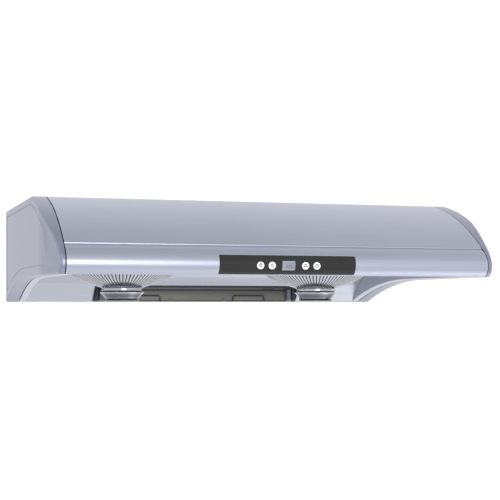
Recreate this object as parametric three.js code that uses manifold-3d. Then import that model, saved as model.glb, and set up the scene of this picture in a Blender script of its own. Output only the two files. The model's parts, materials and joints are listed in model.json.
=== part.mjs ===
// Under cabinet range hood with two fans, conical fan grilles and oil cups.
// Millimetres, +Z up, +Y towards the wall, origin under the middle of the hood at the height of its lowest edge.
import * as THREE from 'three';
import { mergeVertices } from 'three/addons/utils/BufferGeometryUtils.js';
import Module from 'manifold-3d';

const wasm = await Module();
wasm.setup();

// ---------------------------------------------------------------- driving dimensions

const WIDTH = 762; // across the two end caps
const DEPTH = 570; // wall to the button faces
const HEIGHT = 176; // lowest edge to the cabinet
const SHEET = 1.2; // every folded sheet
const GAP = 0.3; // between pieces that touch
const LOOSE = 0.6; // between pieces that slide or turn in each other

const TOP_RUN = 360; // flat top, wall to the start of the canopy
const LIP_HEIGHT = 42.5; // front lip above the lowest edge
const LIP_SETBACK = 13; // lip behind the nose
const RIDGE_HEIGHT = 91.5; // crease between canopy and fascia
const RIDGE_SETBACK = 23.6; // crease behind the nose
const NOSE_HEIGHT = 61.5; // foremost line of the fascia
const CANOPY_TOP_ANGLE = 11; // degrees below level where the canopy starts
const CANOPY_END_ANGLE = 38; // degrees below level at the crease
const FASCIA_TOP_ANGLE = 36; // degrees below level just under the crease
const FOOT_RISE = 3; // upturned edge of the lip's return flange
const LIP_FLANGE = 8; // return flange behind the lip
const CANOPY_FLANGE = 16; // canopy's flange under the flat top
const SWEEP_RUN = 265; // length of the side edge that sweeps down to the wall

const CAP_RIM = 24; // depth of a moulded end cap
const CAP_WALL = 1.6;
const CAP_SEAM = 1; // dark groove between cap and body
const CAP_TAPER = 17; // how much narrower a cap is at the nose
const CAP_TAPER_RUN = 113; // length over which it narrows
const CAP_BEND = [12, 8]; // soft bend where the taper starts: behind and in front of it

const SCREW_HOLE = 3.5; // radius of a cabinet screw hole
const SCREW_INSET = 40; // screw hole inside the body's side
const SCREW_REAR = 60; // rear screw hole in front of the wall
const SCREW_FRONT = 70; // front screw hole behind the canopy
const KEYHOLE_SPREAD = 60; // keyhole outside a fan's axis
const KEYHOLE_HEIGHT = 120;
const KEYHOLE_RADIUS = 5;
const KEYHOLE_RISE = 13; // slot above the keyhole's round part
const CABLE_HOLE = 11; // radius of the supply cable's hole

const PAN_CEILING = 57; // inner ceiling above the lowest edge
const PAN_INSET = 14; // pan wall inside the seam
const PAN_FRONT_WALL = 18; // front rail of the underside behind the lip
const COVE_REACH = 73; // ceiling line in front of the wall
const COVE_KNEE = [38, 36]; // knee of the cove: in front of the wall, above the lowest edge
const COVE_SHOULDER = [63, 49];
const COVE_LAP = 12; // flange of the cove over the ceiling

const FAN_SPREAD = 114.5; // fan axis beside the duct's wall
const FAN_SETBACK = 185; // fan axis in front of the wall
const INLET_RADIUS = 100; // opening in the ceiling under a fan
const GRILLE_LAP = 8; // rim of the conical grille past the opening
const GRILLE_RIM = 1.6;
const GRILLE_SHELL = 1.5;
const GRILLE_FOOT_RADIUS = 38;
const GRILLE_FOOT_HEIGHT = 25.8; // above the lowest edge
const GRILLE_SLOTS = 24;
const SLOT_WIDTH = 4;
const SLOT_ENDS = [8, 14]; // slot from the cone's foot and from its rim
const RING_HEIGHT = 6.4;
const RING_WALL = 2.4;
const CUP_RIM_RADIUS = 40.6;
const CUP_BASE_RADIUS = 30;
const CUP_FOOT_RADIUS = 32;
const CUP_HEIGHT = 16.5;
const CUP_WALL = 1.2;
const CUP_FOOT = 2.5;
const LUGS = 3;
const LUG_WIDTH = 6;
const LUG_REACH = [6, 4]; // lug inside and outside the opening's edge
const NOTCH_REACH = 5.5; // notch in the opening's edge
const LOCK_ANGLE = 25; // turn from the notches to the locked place

const BLOWER_RISE = 5; // blower housing above the pan's ceiling
const BLOWER_DROP = 12; // blower housing below the top panel
const TONGUE_CLEARANCE = 10; // scroll to wheel at the tongue
const SCROLL_GROWTH = 22; // gain over one turn
const SCROLL_ANGLE = 50; // degrees from +X where it starts
const SCROLL_TURN = 320;
const WHEEL_RADIUS = 84;
const WHEEL_BLADE = 14; // radial width of a blade
const BLADE_WALL = 1.4;
const BLADE_SLANT = 30; // degrees
const WHEEL_RING = 4; // height of an end ring
const HUB_RADIUS = 12;
const INLET_LAP = 8; // blower inlet smaller than the wheel
const WHEEL_BLADES = 20;
const WHEEL_MARGIN = 8; // wheel to the housing's floor and roof
const MOTOR_RADIUS = 46;
const MOTOR_LENGTH = 34;
const MOTOR_SEAT = 6; // hole in the blower's roof smaller than the motor
const CAPACITOR_RADIUS = 14;
const CAPACITOR_LENGTH = 50;
const CAPACITOR_PLACE = 40; // beside the hood's middle
const SHAFT_RADIUS = 4;

const DUCT_RADIUS = 76; // six inch round duct
const DUCT_SETBACK = 100; // duct axis in front of the wall
const COLLAR_DEPTH = 34;
const FLAP_WALL = 1;
const PIN_RADIUS = 2;
const PLENUM_MARGIN = 6; // plenum wall beside the duct's wall
const PLENUM_LEAD = 10; // plenum in front of the duct's wall
const DUCT_LIP = 2; // foot of the collar inside the duct's wall
const PIN_RISE = 10; // damper pin above the collar's foot
const KNUCKLE_HALF = 9; // half the length of a flap's knuckle
const KNUCKLE_WALL = 1.2;
const FRONT_KNUCKLES = [-30, 30];
const REAR_KNUCKLES = [-60, 0];
const BOX_HALF = [46, 22]; // wiring box
const BOX_TALL = 34;
const BOX_INSET = 20; // wiring box inside the right fan's axis

const PANEL_HALF_WIDTH = 115; // glossy control panel
const PANEL_TOP = 74;
const PANEL_FOOT = 1.6; // foot of the panel above the lip
const PANEL_WALL = 2.4;
const BUTTON_PROUD = 0.6;
const BUTTON_RADIUS = 5.9;
const BUTTON_HEIGHT = 58; // middle of the buttons and the display
const BUTTON_INNER = 28.3; // nearer pair from the middle
const BUTTON_PITCH = 19.3;
const BUTTON_TRAVEL = 1.2;
const BUTTON_DEPTH = 4;
const STEM_RADIUS = 2;
const SWITCH_TALL = 4.2; // switch in front of the board
const SWITCH_HALF = 3;
const DISPLAY_WIDTH = 21.6;
const DISPLAY_TALL = 15;
const BOARD_SETBACK = 15; // board behind the nose
const BOARD_HALF_TALL = 10;
const BOARD_THICK = 1.6;
const BOARD_INSET = 24; // board inside the panel's end
const TRAY_INSET = 20; // its tray inside the panel's end
const TRAY_DEPTH = [3, 12]; // tray in front of the board and behind it

const RECESS_HALF_WIDTH = 213; // opening at the foot of the cove
const RECESS_HEIGHT = 33;
const HANDLE_WIDTH = 70;
const HANDLE_PLACE = 110; // middle of a handle from the middle of the hood
const HANDLE_WIRE = 3;
const HANDLE_HEIGHT = 14;
const HANDLE_CORNER = 6;
const COVER_DEPTH = 7; // cover plate in front of the back panel
const COVER_FOOT = 1; // foot of the plate and the handles
const COVER_SLOT = [152, 13]; // slot beside the middle, and half its width
const COVER_SCREW = [55, 4]; // screw beside the middle and above the lowest edge
const SCREW_HEAD = 3.6;
const SCREW_SHANK = 1.8;
const LAMP_RADIUS = 34;
const LAMP_INSET = 165; // lamp axis inside the hood's side
const LAMP_SETBACK = 95; // lamp axis behind the nose
const LAMP_WALL = 3;
const LAMP_FLANGE = 4;
const LAMP_DEPTH = 14;

const SMALL_ROUND = 12; // sides of a screw or a stem
const ROUND = 24;
const FINE_ROUND = 32;

// ---------------------------------------------------------------- places worked out from them

const back = DEPTH / 2;
const side = WIDTH / 2;
const nose = -DEPTH / 2 + BUTTON_PROUD;
const canopyStart = back - TOP_RUN;
const ridge = nose + RIDGE_SETBACK;
const lip = nose + LIP_SETBACK;
const seam = side - CAP_RIM;
const bodyHalf = seam - CAP_SEAM;
const panHalf = bodyHalf - PAN_INSET;
const panFront = lip + PAN_FRONT_WALL;
const panTop = PAN_CEILING + SHEET;
const scrollStart = WHEEL_RADIUS + TONGUE_CLEARANCE;
const grilleRadius = INLET_RADIUS + GRILLE_LAP;
const fanX = DUCT_RADIUS + FAN_SPREAD;
const plenumHalf = DUCT_RADIUS + PLENUM_MARGIN;
const fanY = back - FAN_SETBACK;
const lampX = side - LAMP_INSET;
const lampY = nose + LAMP_SETBACK;
const ductY = back - DUCT_SETBACK;
const underTop = HEIGHT - SHEET - GAP;
const behindWall = back - SHEET - GAP; // front of the back panel, less a gap
const boardFront = nose + BOARD_SETBACK;
const coverFront = behindWall - COVER_DEPTH;
const ringTop = GRILLE_FOOT_HEIGHT - GAP;
const ringFoot = ringTop - RING_HEIGHT;
const cupTop = ringFoot - 1;
const housingFoot = panTop + BLOWER_RISE;
const housingTop = HEIGHT - SHEET - BLOWER_DROP;
const wheelFoot = housingFoot + SHEET + WHEEL_MARGIN;
const wheelTop = housingTop - SHEET - WHEEL_MARGIN;
const motorFoot = housingTop - SHEET - MOTOR_LENGTH;
const hubTop = motorFoot - 5;
const outletX = -plenumHalf - GAP;
const collarFoot = HEIGHT - COLLAR_DEPTH;
const plenumTop = collarFoot - GAP;
const plenumFront = ductY - DUCT_RADIUS - PLENUM_LEAD;
const pinHeight = collarFoot + PIN_RISE;
const boxX = fanX - BOX_INSET;
const boxY = fanY - scrollStart - SCROLL_GROWTH / 2 - 26; // in front of the right blower

// ---------------------------------------------------------------- materials

function finish(colour, metalness, roughness) {
  return new THREE.MeshStandardMaterial({ color: colour, metalness, roughness });
}

const STEEL = finish(0xb4b8c4, 0.9, 0.35);
const POLISHED = finish(0xd5d8dc, 1, 0.12);
const GALVANISED = finish(0x9fa4a8, 0.8, 0.5);
const CAP_PAINT = finish(0xb2b6c2, 0.5, 0.4);
const BLACK_GLOSS = finish(0x3f3f3f, 0, 0.15);
const WHITE_PLASTIC = finish(0xf0f0f0, 0, 0.4);
const DISPLAY_GLASS = finish(0xb0b8c8, 0, 0.1);
const DARK_PLASTIC = finish(0x40454f, 0, 0.6);
const TRAY_PAINT = finish(0x77776f, 0.2, 0.5);
const BOARD_GREEN = finish(0x2e5a3a, 0, 0.6);
const ALUMINIUM = finish(0xc2c5c8, 0.9, 0.4);
const FROSTED = finish(0xf4f2ea, 0, 0.3);

// ---------------------------------------------------------------- solids

/** A closed geometry as a manifold solid, with the slivers at poles and seams dropped. */
function solid(geometry) {
  geometry.deleteAttribute('normal');
  geometry.deleteAttribute('uv');
  const merged = mergeVertices(geometry, 1e-4);
  const faces = [];
  for (let i = 0; i < merged.index.count; i += 3) {
    const [a, b, c] = [0, 1, 2].map((k) => merged.index.getX(i + k));
    if (a !== b && b !== c && c !== a) faces.push(a, b, c);
  }
  const vertProperties = new Float32Array(merged.attributes.position.array);
  return new wasm.Manifold(new wasm.Mesh({ numProp: 3, vertProperties, triVerts: new Uint32Array(faces) }));
}

/** Turns an extrusion's own axes into the given ones. */
function placed(geometry, xAxis, yAxis, zAxis) {
  const basis = new THREE.Matrix4().makeBasis(
    new THREE.Vector3(...xAxis), new THREE.Vector3(...yAxis), new THREE.Vector3(...zAxis));
  return geometry.applyMatrix4(basis);
}

function extrusion(outline, length) {
  const shape = new THREE.Shape(outline.map(([x, y]) => new THREE.Vector2(x, y)));
  return new THREE.ExtrudeGeometry(shape, { depth: length, bevelEnabled: false });
}

/** A (Y, Z) outline drawn out along X, from one X to another. */
function alongX(outline, from, to) {
  const geometry = placed(extrusion(outline, to - from), [0, 1, 0], [0, 0, 1], [1, 0, 0]);
  return solid(geometry.translate(from, 0, 0));
}

/** An (X, Z) outline drawn out along Y. */
function alongY(outline, from, to) {
  const geometry = placed(extrusion(outline, to - from), [1, 0, 0], [0, 0, 1], [0, -1, 0]);
  return solid(geometry.translate(0, to, 0));
}

/** An (X, Y) outline drawn out along Z. */
function alongZ(outline, from, to) {
  return solid(extrusion(outline, to - from).translate(0, 0, from));
}

/** A block between two corners. */
function block([x0, y0, z0], [x1, y1, z1]) {
  const geometry = new THREE.BoxGeometry(x1 - x0, y1 - y0, z1 - z0);
  return solid(geometry.translate((x0 + x1) / 2, (y0 + y1) / 2, (z0 + z1) / 2));
}

/** An (r, z) profile turned about a vertical axis; it starts and ends on the axis, or is closed here. */
function turned(profile, x, y, sides = ROUND) {
  const points = profile.map(([r, z]) => new THREE.Vector2(r, z));
  const onAxis = profile[0][0] === 0 && profile.at(-1)[0] === 0;
  if (!onAxis) points.push(points[0].clone());
  const geometry = new THREE.LatheGeometry(points, sides).rotateX(Math.PI / 2);
  return solid(geometry.translate(x, y, 0));
}

/** A round rod or hole along Z. */
function rod(radius, x, y, z0, z1, sides = ROUND) {
  return turned([[0, z0], [radius, z0], [radius, z1], [0, z1]], x, y, sides);
}

/** A round rod or hole along Y. */
function rodY(radius, x, z, y0, y1, sides = ROUND) {
  const geometry = new THREE.CylinderGeometry(radius, radius, y1 - y0, sides);
  return solid(geometry.translate(x, (y0 + y1) / 2, z));
}

/** A round rod or hole along X. */
function rodX(radius, y, z, x0, x1, sides = ROUND) {
  const geometry = new THREE.CylinderGeometry(radius, radius, x1 - x0, sides).rotateZ(Math.PI / 2);
  return solid(geometry.translate((x0 + x1) / 2, y, z));
}

/** The points of a line moved sideways to its left by a distance, mitred at the corners. */
function moved(points, distance, closed = false) {
  const count = points.length;
  return points.map((p, i) => {
    const before = closed ? points[(i + count - 1) % count] : points[Math.max(i - 1, 0)];
    const after = closed ? points[(i + 1) % count] : points[Math.min(i + 1, count - 1)];
    const sides = [[before, p], [p, after]].filter(([a, b]) => Math.hypot(b[0] - a[0], b[1] - a[1]) > 1e-9);
    const normals = sides.map(([a, b]) => {
      const length = Math.hypot(b[0] - a[0], b[1] - a[1]);
      return [-(b[1] - a[1]) / length, (b[0] - a[0]) / length];
    });
    const [n, m] = [normals[0], normals.at(-1)];
    const scale = distance / (1 + n[0] * m[0] + n[1] * m[1]);
    return [p[0] + (n[0] + m[0]) * scale, p[1] + (n[1] + m[1]) * scale];
  });
}

/** A sheet of even thickness whose outer face follows a line; the thickness goes to the line's left. */
function band(points, thickness = SHEET) {
  return [...points, ...moved(points, thickness).reverse()];
}

function ringed(count, make) {
  return Array.from({ length: count }, (_, i) => make((2 * Math.PI * i) / count, i));
}

function joined(solids) {
  return solids.reduce((all, next) => all.add(next));
}

function cut(body, holes) {
  return holes.reduce((left, hole) => left.subtract(hole), body);
}

/** The same solid on the other side of the hood's middle plane. */
function mirrored(body) {
  return body.mirror([1, 0, 0]);
}

// ---------------------------------------------------------------- outlines of the hood

const degrees = Math.PI / 180;

function curve(points, steps) {
  const vectors = points.map(([y, z]) => new THREE.Vector2(y, z));
  const made = new THREE.QuadraticBezierCurve(...vectors);
  return made.getPoints(steps).map((v) => [v.x, v.y]);
}

/** Canopy from the flat top down to the crease, leaving and arriving at its own angles. */
function canopyLine() {
  const run = canopyStart - ridge;
  const drop = HEIGHT - RIDGE_HEIGHT;
  const [a, b] = [Math.tan(CANOPY_TOP_ANGLE * degrees), Math.tan(CANOPY_END_ANGLE * degrees)];
  const reach = THREE.MathUtils.clamp((run * b - drop) / (b - a), 0.1 * run, 0.9 * run);
  const corner = [canopyStart - reach, HEIGHT - a * reach];
  return curve([[canopyStart, HEIGHT], corner, [ridge, RIDGE_HEIGHT]], 12);
}

/** Fascia from the crease round the nose to the lip. */
function fasciaLine() {
  const shoulder = RIDGE_HEIGHT - RIDGE_SETBACK * Math.tan(FASCIA_TOP_ANGLE * degrees);
  const upper = curve([[ridge, RIDGE_HEIGHT], [nose, shoulder], [nose, NOSE_HEIGHT]], 6);
  const lower = curve([[nose, NOSE_HEIGHT], [nose, LIP_HEIGHT + 5.5], [lip, LIP_HEIGHT]], 6);
  return [...upper, ...lower.slice(1)];
}

/** Lower edge from the lip to the wall: level, then an arc that sweeps down. */
function lowerEdge() {
  const radius = (SWEEP_RUN ** 2 + LIP_HEIGHT ** 2) / (2 * LIP_HEIGHT);
  const turn = Math.asin(SWEEP_RUN / radius);
  const steps = 10;
  const arc = Array.from({ length: steps + 1 }, (_, i) => {
    const angle = (turn * i) / steps;
    return [back - SWEEP_RUN + radius * Math.sin(angle), LIP_HEIGHT - radius * (1 - Math.cos(angle))];
  });
  arc[steps] = [back, 0];
  return arc;
}

/** Whole side outline, counterclockwise with Y to the right. */
function sideOutline() {
  return [[back, 0], [back, HEIGHT], ...canopyLine(), ...fasciaLine().slice(1), ...lowerEdge().slice(0, -1)];
}

/** Inner surface of the cove, from the ceiling down to the wall. */
function coveLine() {
  return [
    [back - COVE_REACH, PAN_CEILING], [back - COVE_SHOULDER[0], COVE_SHOULDER[1]],
    [back - COVE_KNEE[0], COVE_KNEE[1]], [behindWall - 2 * SHEET, SHEET],
  ];
}

/** Inner surface of the cove at a height, in front of the wall. */
function coveAt(height) {
  const line = coveLine();
  const [low, high] = [line.find((p) => p[1] <= height), line.findLast((p) => p[1] >= height)];
  if (low === high) return low[0];
  return high[0] + ((low[0] - high[0]) * (high[1] - height)) / (high[1] - low[1]);
}

// ---------------------------------------------------------------- outer body

/** Plan outline of a left end cap, less its wall where inset: tapered towards the nose. */
function capPlan(inset) {
  const outer = -side + inset;
  const front = -DEPTH / 2 - 1;
  const bend = nose + CAP_TAPER_RUN;
  const open = inset ? -seam + 1 : -seam;
  return [
    [outer, back + 1], [outer, bend + CAP_BEND[0]], [outer + 1, bend - CAP_BEND[1]], [outer + CAP_TAPER, front],
    [open, front], [open, back + 1],
  ];
}

/** Left end cap: a moulded pan whose rim follows the side outline. */
function endCap() {
  const outline = sideOutline();
  const shell = alongX(outline, -side - 1, -seam).intersect(alongZ(capPlan(0), -1, HEIGHT + 1));
  const hollow = alongX(moved(outline, CAP_WALL, true), -side - 1, -seam + 1)
    .intersect(alongZ(capPlan(CAP_WALL), -1, HEIGHT + 1));
  return shell.subtract(hollow);
}

/** Flat top with the duct outlet, the cable hole and the screw holes. */
function topPanel() {
  const plate = block([-bodyHalf, canopyStart + GAP, HEIGHT - SHEET], [bodyHalf, back, HEIGHT]);
  const through = [HEIGHT - 3, HEIGHT + 1];
  const screws = [-1, 1].flatMap((sx) => [back - SCREW_REAR, canopyStart + SCREW_FRONT].map((y) =>
    rod(SCREW_HOLE, sx * (bodyHalf - SCREW_INSET), y, ...through, SMALL_ROUND)));
  const duct = rod(DUCT_RADIUS + SHEET + GAP, 0, ductY, ...through, FINE_ROUND);
  const cable = rod(CABLE_HOLE, boxX, boxY, ...through);
  return cut(plate, [duct, cable, ...screws]);
}

/** Back panel with keyhole slots for the wall screws. */
function backPanel() {
  const plate = block([-bodyHalf, back - SHEET, 0], [bodyHalf, back, underTop]);
  const slots = [-1, 1].flatMap((sx) => {
    const [x, z, r] = [sx * (fanX + KEYHOLE_SPREAD), KEYHOLE_HEIGHT, KEYHOLE_RADIUS];
    const slot = block([x - r / 2, back - 4, z], [x + r / 2, back + 1, z + KEYHOLE_RISE]);
    return [rodY(r, x, z, back - 4, back + 1, SMALL_ROUND), slot];
  });
  return cut(plate, slots);
}

/** Curved canopy with a flange under the flat top and one behind the fascia. */
function canopyPanel() {
  const skin = alongX(band(canopyLine()), -bodyHalf, bodyHalf)
    .subtract(block([-side, canopyStart, 0], [side, back, HEIGHT + 1]));
  const foot = underTop - SHEET;
  const flange = block([-bodyHalf, canopyStart - 2, foot], [bodyHalf, canopyStart + CANOPY_FLANGE, underTop]);
  const neck = block([-bodyHalf, canopyStart - 4, foot], [bodyHalf, canopyStart - 0.5, HEIGHT - SHEET]);
  return joined([skin, flange, neck]);
}

/** Fascia round the nose, with a tucked-in top flange, a return flange at the lip and the control window. */
function frontFascia() {
  const line = fasciaLine();
  line[0] = [line[0][0] - GAP, line[0][1] - GAP];
  const skin = alongX(band(line), -bodyHalf, bodyHalf);
  const flangeEnd = lip + LIP_FLANGE;
  const foot = block([-bodyHalf, lip - 1, LIP_HEIGHT], [bodyHalf, flangeEnd, LIP_HEIGHT + SHEET]);
  const rise = block([-bodyHalf, flangeEnd - SHEET, LIP_HEIGHT], [bodyHalf, flangeEnd, LIP_HEIGHT + FOOT_RISE]);
  const tail = moved(canopyLine(), SHEET + GAP).slice(-3);
  const root = moved(fasciaLine(), SHEET * 0.8)[2];
  const tuck = alongX(band([...tail, root]), -bodyHalf, bodyHalf);
  const half = PANEL_HALF_WIDTH + GAP;
  const window = block([-half, nose - 1, LIP_HEIGHT + PANEL_FOOT - GAP], [half, lip - 0.5, PANEL_TOP + GAP]);
  return joined([skin, foot, rise, tuck]).subtract(window);
}

// ---------------------------------------------------------------- controls

const BUTTON_OUTER = BUTTON_INNER + BUTTON_PITCH;
const buttonPlaces = [-BUTTON_OUTER, -BUTTON_INNER, BUTTON_INNER, BUTTON_OUTER];
const buttonNames = ['button_power', 'button_light', 'button_fan_speed', 'button_timer'];
/** A slice of the nose between two depths under its surface, cut to a window. */
function noseSlice(from, to, [x0, x1], [z0, z1]) {
  const line = fasciaLine();
  const outline = [...moved(line, from), ...moved(line, to).reverse()];
  return alongX(outline, x0, x1).intersect(block([x0 - 1, nose - 1, z0], [x1 + 1, lip + 20, z1]));
}

/** Glossy strip set flush in the fascia, with holes for the buttons and the display. */
function controlPanel() {
  const span = [-PANEL_HALF_WIDTH, PANEL_HALF_WIDTH];
  const strip = noseSlice(0, PANEL_WALL, span, [LIP_HEIGHT + PANEL_FOOT, PANEL_TOP])
    .subtract(block([-side, lip - 0.8, 0], [side, lip + 30, PANEL_TOP]));
  const [front, rear] = [nose - 2, nose + 8];
  const holes = buttonPlaces.map((x) => rodY(BUTTON_RADIUS + LOOSE / 2, x, BUTTON_HEIGHT, front, rear));
  const [w, t] = [DISPLAY_WIDTH / 2 + GAP, DISPLAY_TALL / 2 + GAP];
  const display = block([-w, front, BUTTON_HEIGHT - t], [w, rear, BUTTON_HEIGHT + t]);
  return cut(strip, [...holes, display]);
}

/** Push button: a disc with a stem that reaches the switch. */
function button(x) {
  const face = nose - BUTTON_PROUD;
  const stemEnd = boardFront - SWITCH_TALL - BUTTON_TRAVEL - GAP;
  const cap = rodY(BUTTON_RADIUS, x, BUTTON_HEIGHT, face, face + BUTTON_DEPTH);
  const stem = rodY(STEM_RADIUS, x, BUTTON_HEIGHT, face + BUTTON_DEPTH - 1, stemEnd, SMALL_ROUND);
  return cap.add(stem);
}

function displayWindow() {
  const [w, t] = [DISPLAY_WIDTH / 2, DISPLAY_TALL / 2];
  return noseSlice(0.2, 1.8, [-w, w], [BUTTON_HEIGHT - t, BUTTON_HEIGHT + t]);
}

/** Seven-segment display module between the window and the board. */
function displayModule() {
  const [w, t] = [DISPLAY_WIDTH / 2 - 0.5, DISPLAY_TALL / 2 - 1];
  return block([-w, nose + 4.5, BUTTON_HEIGHT - t], [w, boardFront - GAP, BUTTON_HEIGHT + t]);
}

/** Circuit board with four switches and a plug socket. */
function controlBoard() {
  const half = PANEL_HALF_WIDTH - BOARD_INSET;
  const [z0, z1] = [BUTTON_HEIGHT - BOARD_HALF_TALL, BUTTON_HEIGHT + BOARD_HALF_TALL];
  const board = block([-half, boardFront, z0], [half, boardFront + BOARD_THICK, z1]);
  const switches = buttonPlaces.map((x) =>
    block([x - SWITCH_HALF, boardFront - SWITCH_TALL, BUTTON_HEIGHT - SWITCH_HALF],
      [x + SWITCH_HALF, boardFront + BOARD_THICK / 2, BUTTON_HEIGHT + SWITCH_HALF]));
  const socket = block([half - 22, boardFront + 1, BUTTON_HEIGHT - 4], [half - 6, boardFront + 8, BUTTON_HEIGHT + 4]);
  return joined([board, ...switches, socket]);
}

/** Tray that holds the board behind the fascia, open towards the front. */
function controlHousing() {
  const half = PANEL_HALF_WIDTH - TRAY_INSET;
  const tall = BOARD_HALF_TALL + LOOSE + SHEET;
  const [z0, z1] = [BUTTON_HEIGHT - tall, BUTTON_HEIGHT + tall];
  const [y0, y1] = [boardFront - TRAY_DEPTH[0], boardFront + TRAY_DEPTH[1]];
  const outer = block([-half, y0, z0], [half, y1, z1]);
  const inner = block([-half + SHEET, y0 - 1, z0 + SHEET], [half - SHEET, y1 - SHEET, z1 - SHEET]);
  return outer.subtract(inner);
}

// ---------------------------------------------------------------- underside

/** Flat ceiling of the underside with the two fan inlets and the lamp holes. */
function ceilingPanel() {
  const half = panHalf - GAP;
  const sheet = block([-half, panFront - SHEET, PAN_CEILING], [half, back - COVE_REACH - GAP, panTop]);
  const through = [PAN_CEILING - 2, panTop + 1];
  const inlets = [-fanX, fanX].flatMap((x) => [
    rod(INLET_RADIUS, x, fanY, ...through, FINE_ROUND),
    ...ringed(LUGS, (angle) =>
      lugBlock(x, angle, INLET_RADIUS - 8, INLET_RADIUS + NOTCH_REACH, LUG_WIDTH + 2, through)),
  ]);
  const lamps = [-lampX, lampX].map((x) => rod(LAMP_RADIUS, x, lampY, ...through));
  return cut(sheet, [...inlets, ...lamps]);
}

/** Front wall of the underside, from the lip's flange up to the ceiling. */
function frontRail() {
  const half = panHalf - GAP;
  return block([-half, panFront - SHEET, LIP_HEIGHT + SHEET + GAP], [half, panFront, PAN_CEILING - GAP]);
}

/** Cove that closes the underside at the wall, lapped over the ceiling and cut out for the recess. */
function rearCove() {
  const half = panHalf - GAP;
  const start = back - COVE_REACH;
  const lap = panTop + GAP;
  const sheet = alongX(band(coveLine()), -half, half);
  const neck = block([-half, start, PAN_CEILING + 0.4], [half, start + 2 * SHEET, lap + SHEET]);
  const flange = block([-half, start - COVE_LAP, lap], [half, start + SHEET, lap + SHEET]);
  const recess = block([-RECESS_HALF_WIDTH, start, -1], [RECESS_HALF_WIDTH, back, RECESS_HEIGHT]);
  return joined([sheet, neck, flange]).subtract(recess);
}

/** Left side wall of the underside, with the rolled edge that follows the lower edge out to the end cap. */
function sideLiner() {
  const top = [[panFront, panTop], [back - COVE_REACH, panTop], ...moved(coveLine(), SHEET).slice(1)];
  const edge = lowerEdge().filter(([y]) => y < behindWall - 3);
  const outline = [[panFront, LIP_HEIGHT + SHEET], ...top, ...edge.map(([y, z]) => [y, z + SHEET / 2]).reverse()];
  const wall = alongX(outline, -panHalf - SHEET, -panHalf);
  const roll = alongX(band([[panFront - SHEET, LIP_HEIGHT], ...edge]), -bodyHalf, -panHalf);
  return wall.add(roll);
}

/** A radial block at an angle on a fan's circle. */
function lugBlock(x, angle, inner, outer, width, [z0, z1]) {
  const geometry = new THREE.BoxGeometry(outer - inner, width, z1 - z0);
  geometry.translate((inner + outer) / 2, 0, (z0 + z1) / 2).rotateZ(angle).translate(x, fanY, 0);
  return solid(geometry);
}

/** Dark liner of the recess at the foot of the cove: roof and two ends. */
function recessFrame() {
  const half = RECESS_HALF_WIDTH - GAP;
  const [front, rear] = [coveAt(RECESS_HEIGHT) + GAP, behindWall];
  const roof = block([-half, front, RECESS_HEIGHT - GAP - SHEET], [half, rear, RECESS_HEIGHT - GAP]);
  const ends = [-1, 1].map((s) => {
    const face = alongX(
      [[front, RECESS_HEIGHT - 1], [rear - 3, 2], [rear, 2], [rear, RECESS_HEIGHT - 1]], -SHEET, 0);
    return face.translate([s > 0 ? half : -half + SHEET, 0, 0]);
  });
  return joined([roof, ...ends]);
}

/** Pressed cover plate at the back of the recess: flat with its edges turned back. */
function rearAccessCover() {
  const half = RECESS_HALF_WIDTH - GAP * 2 - SHEET;
  const top = RECESS_HEIGHT - GAP * 2 - SHEET;
  const outer = block([-half, coverFront, COVER_FOOT], [half, behindWall - GAP, top]);
  const inner = block([-half + SHEET, coverFront + SHEET, 0], [half - SHEET, behindWall + 1, top - SHEET]);
  const [front, rear] = [coverFront - 1, coverFront + 3];
  const [slotX, slotHalf] = COVER_SLOT;
  const slots = [-1, 1].map((s) => block([s * slotX - slotHalf, front, top - 6], [s * slotX + slotHalf, rear, top - 3]));
  const screws = [-1, 1].map((s) =>
    rodY(SCREW_SHANK + GAP, s * COVER_SCREW[0], COVER_SCREW[1], front, rear, SMALL_ROUND));
  return cut(outer.subtract(inner), [...slots, ...screws]);
}

function accessScrew(x) {
  const z = COVER_SCREW[1];
  const head = rodY(SCREW_HEAD, x, z, coverFront - GAP - 2, coverFront - GAP);
  const shank = rodY(SCREW_SHANK, x, z, coverFront - GAP - 1, coverFront + COVER_DEPTH - 2, SMALL_ROUND);
  return head.add(shank);
}

/** Bent wire handle in front of the cover plate, open at the foot. */
function coverHandle(x) {
  const arch = (inset) => {
    const [half, top, corner] = [HANDLE_WIDTH / 2 - inset, HANDLE_HEIGHT - inset, HANDLE_CORNER - inset];
    const angles = [0, 30, 60, 90].map((angle) => angle * degrees);
    const turn = angles.map((angle) => [corner * Math.sin(angle), corner * Math.cos(angle)]);
    const right = turn.map(([u, w]) => [half - corner + u, top - corner + w]);
    return [...right.slice().reverse(), ...right.map(([u, w]) => [-u, w])];
  };
  const [outer, inner] = [arch(0), arch(HANDLE_WIRE)];
  const foot = COVER_FOOT;
  const closed = [[outer[0][0], foot], ...outer, [outer.at(-1)[0], foot], [inner.at(-1)[0], foot],
    ...inner.slice().reverse(), [inner[0][0], foot]];
  const outline = closed.map(([u, w]) => [x + u, w]);
  return alongY(outline, coverFront - GAP - HANDLE_WIRE, coverFront - GAP);
}

function lampHousing() {
  const [r, z] = [LAMP_RADIUS, PAN_CEILING];
  const [outer, inner, top] = [r - GAP, r - GAP - LAMP_WALL, z + LAMP_DEPTH];
  const profile = [[inner, z - 1], [r + LAMP_FLANGE, z - 1], [r + LAMP_FLANGE, z - GAP], [outer, z - GAP],
    [outer, top], [0, top], [0, top - 2], [inner, top - 2]];
  return turned(profile, -lampX, lampY);
}

function lampLens() {
  return rod(LAMP_RADIUS - GAP * 2 - LAMP_WALL, -lampX, lampY, PAN_CEILING - 1, PAN_CEILING + 1.5);
}

// ---------------------------------------------------------------- fan grille, ring and oil cup

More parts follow.
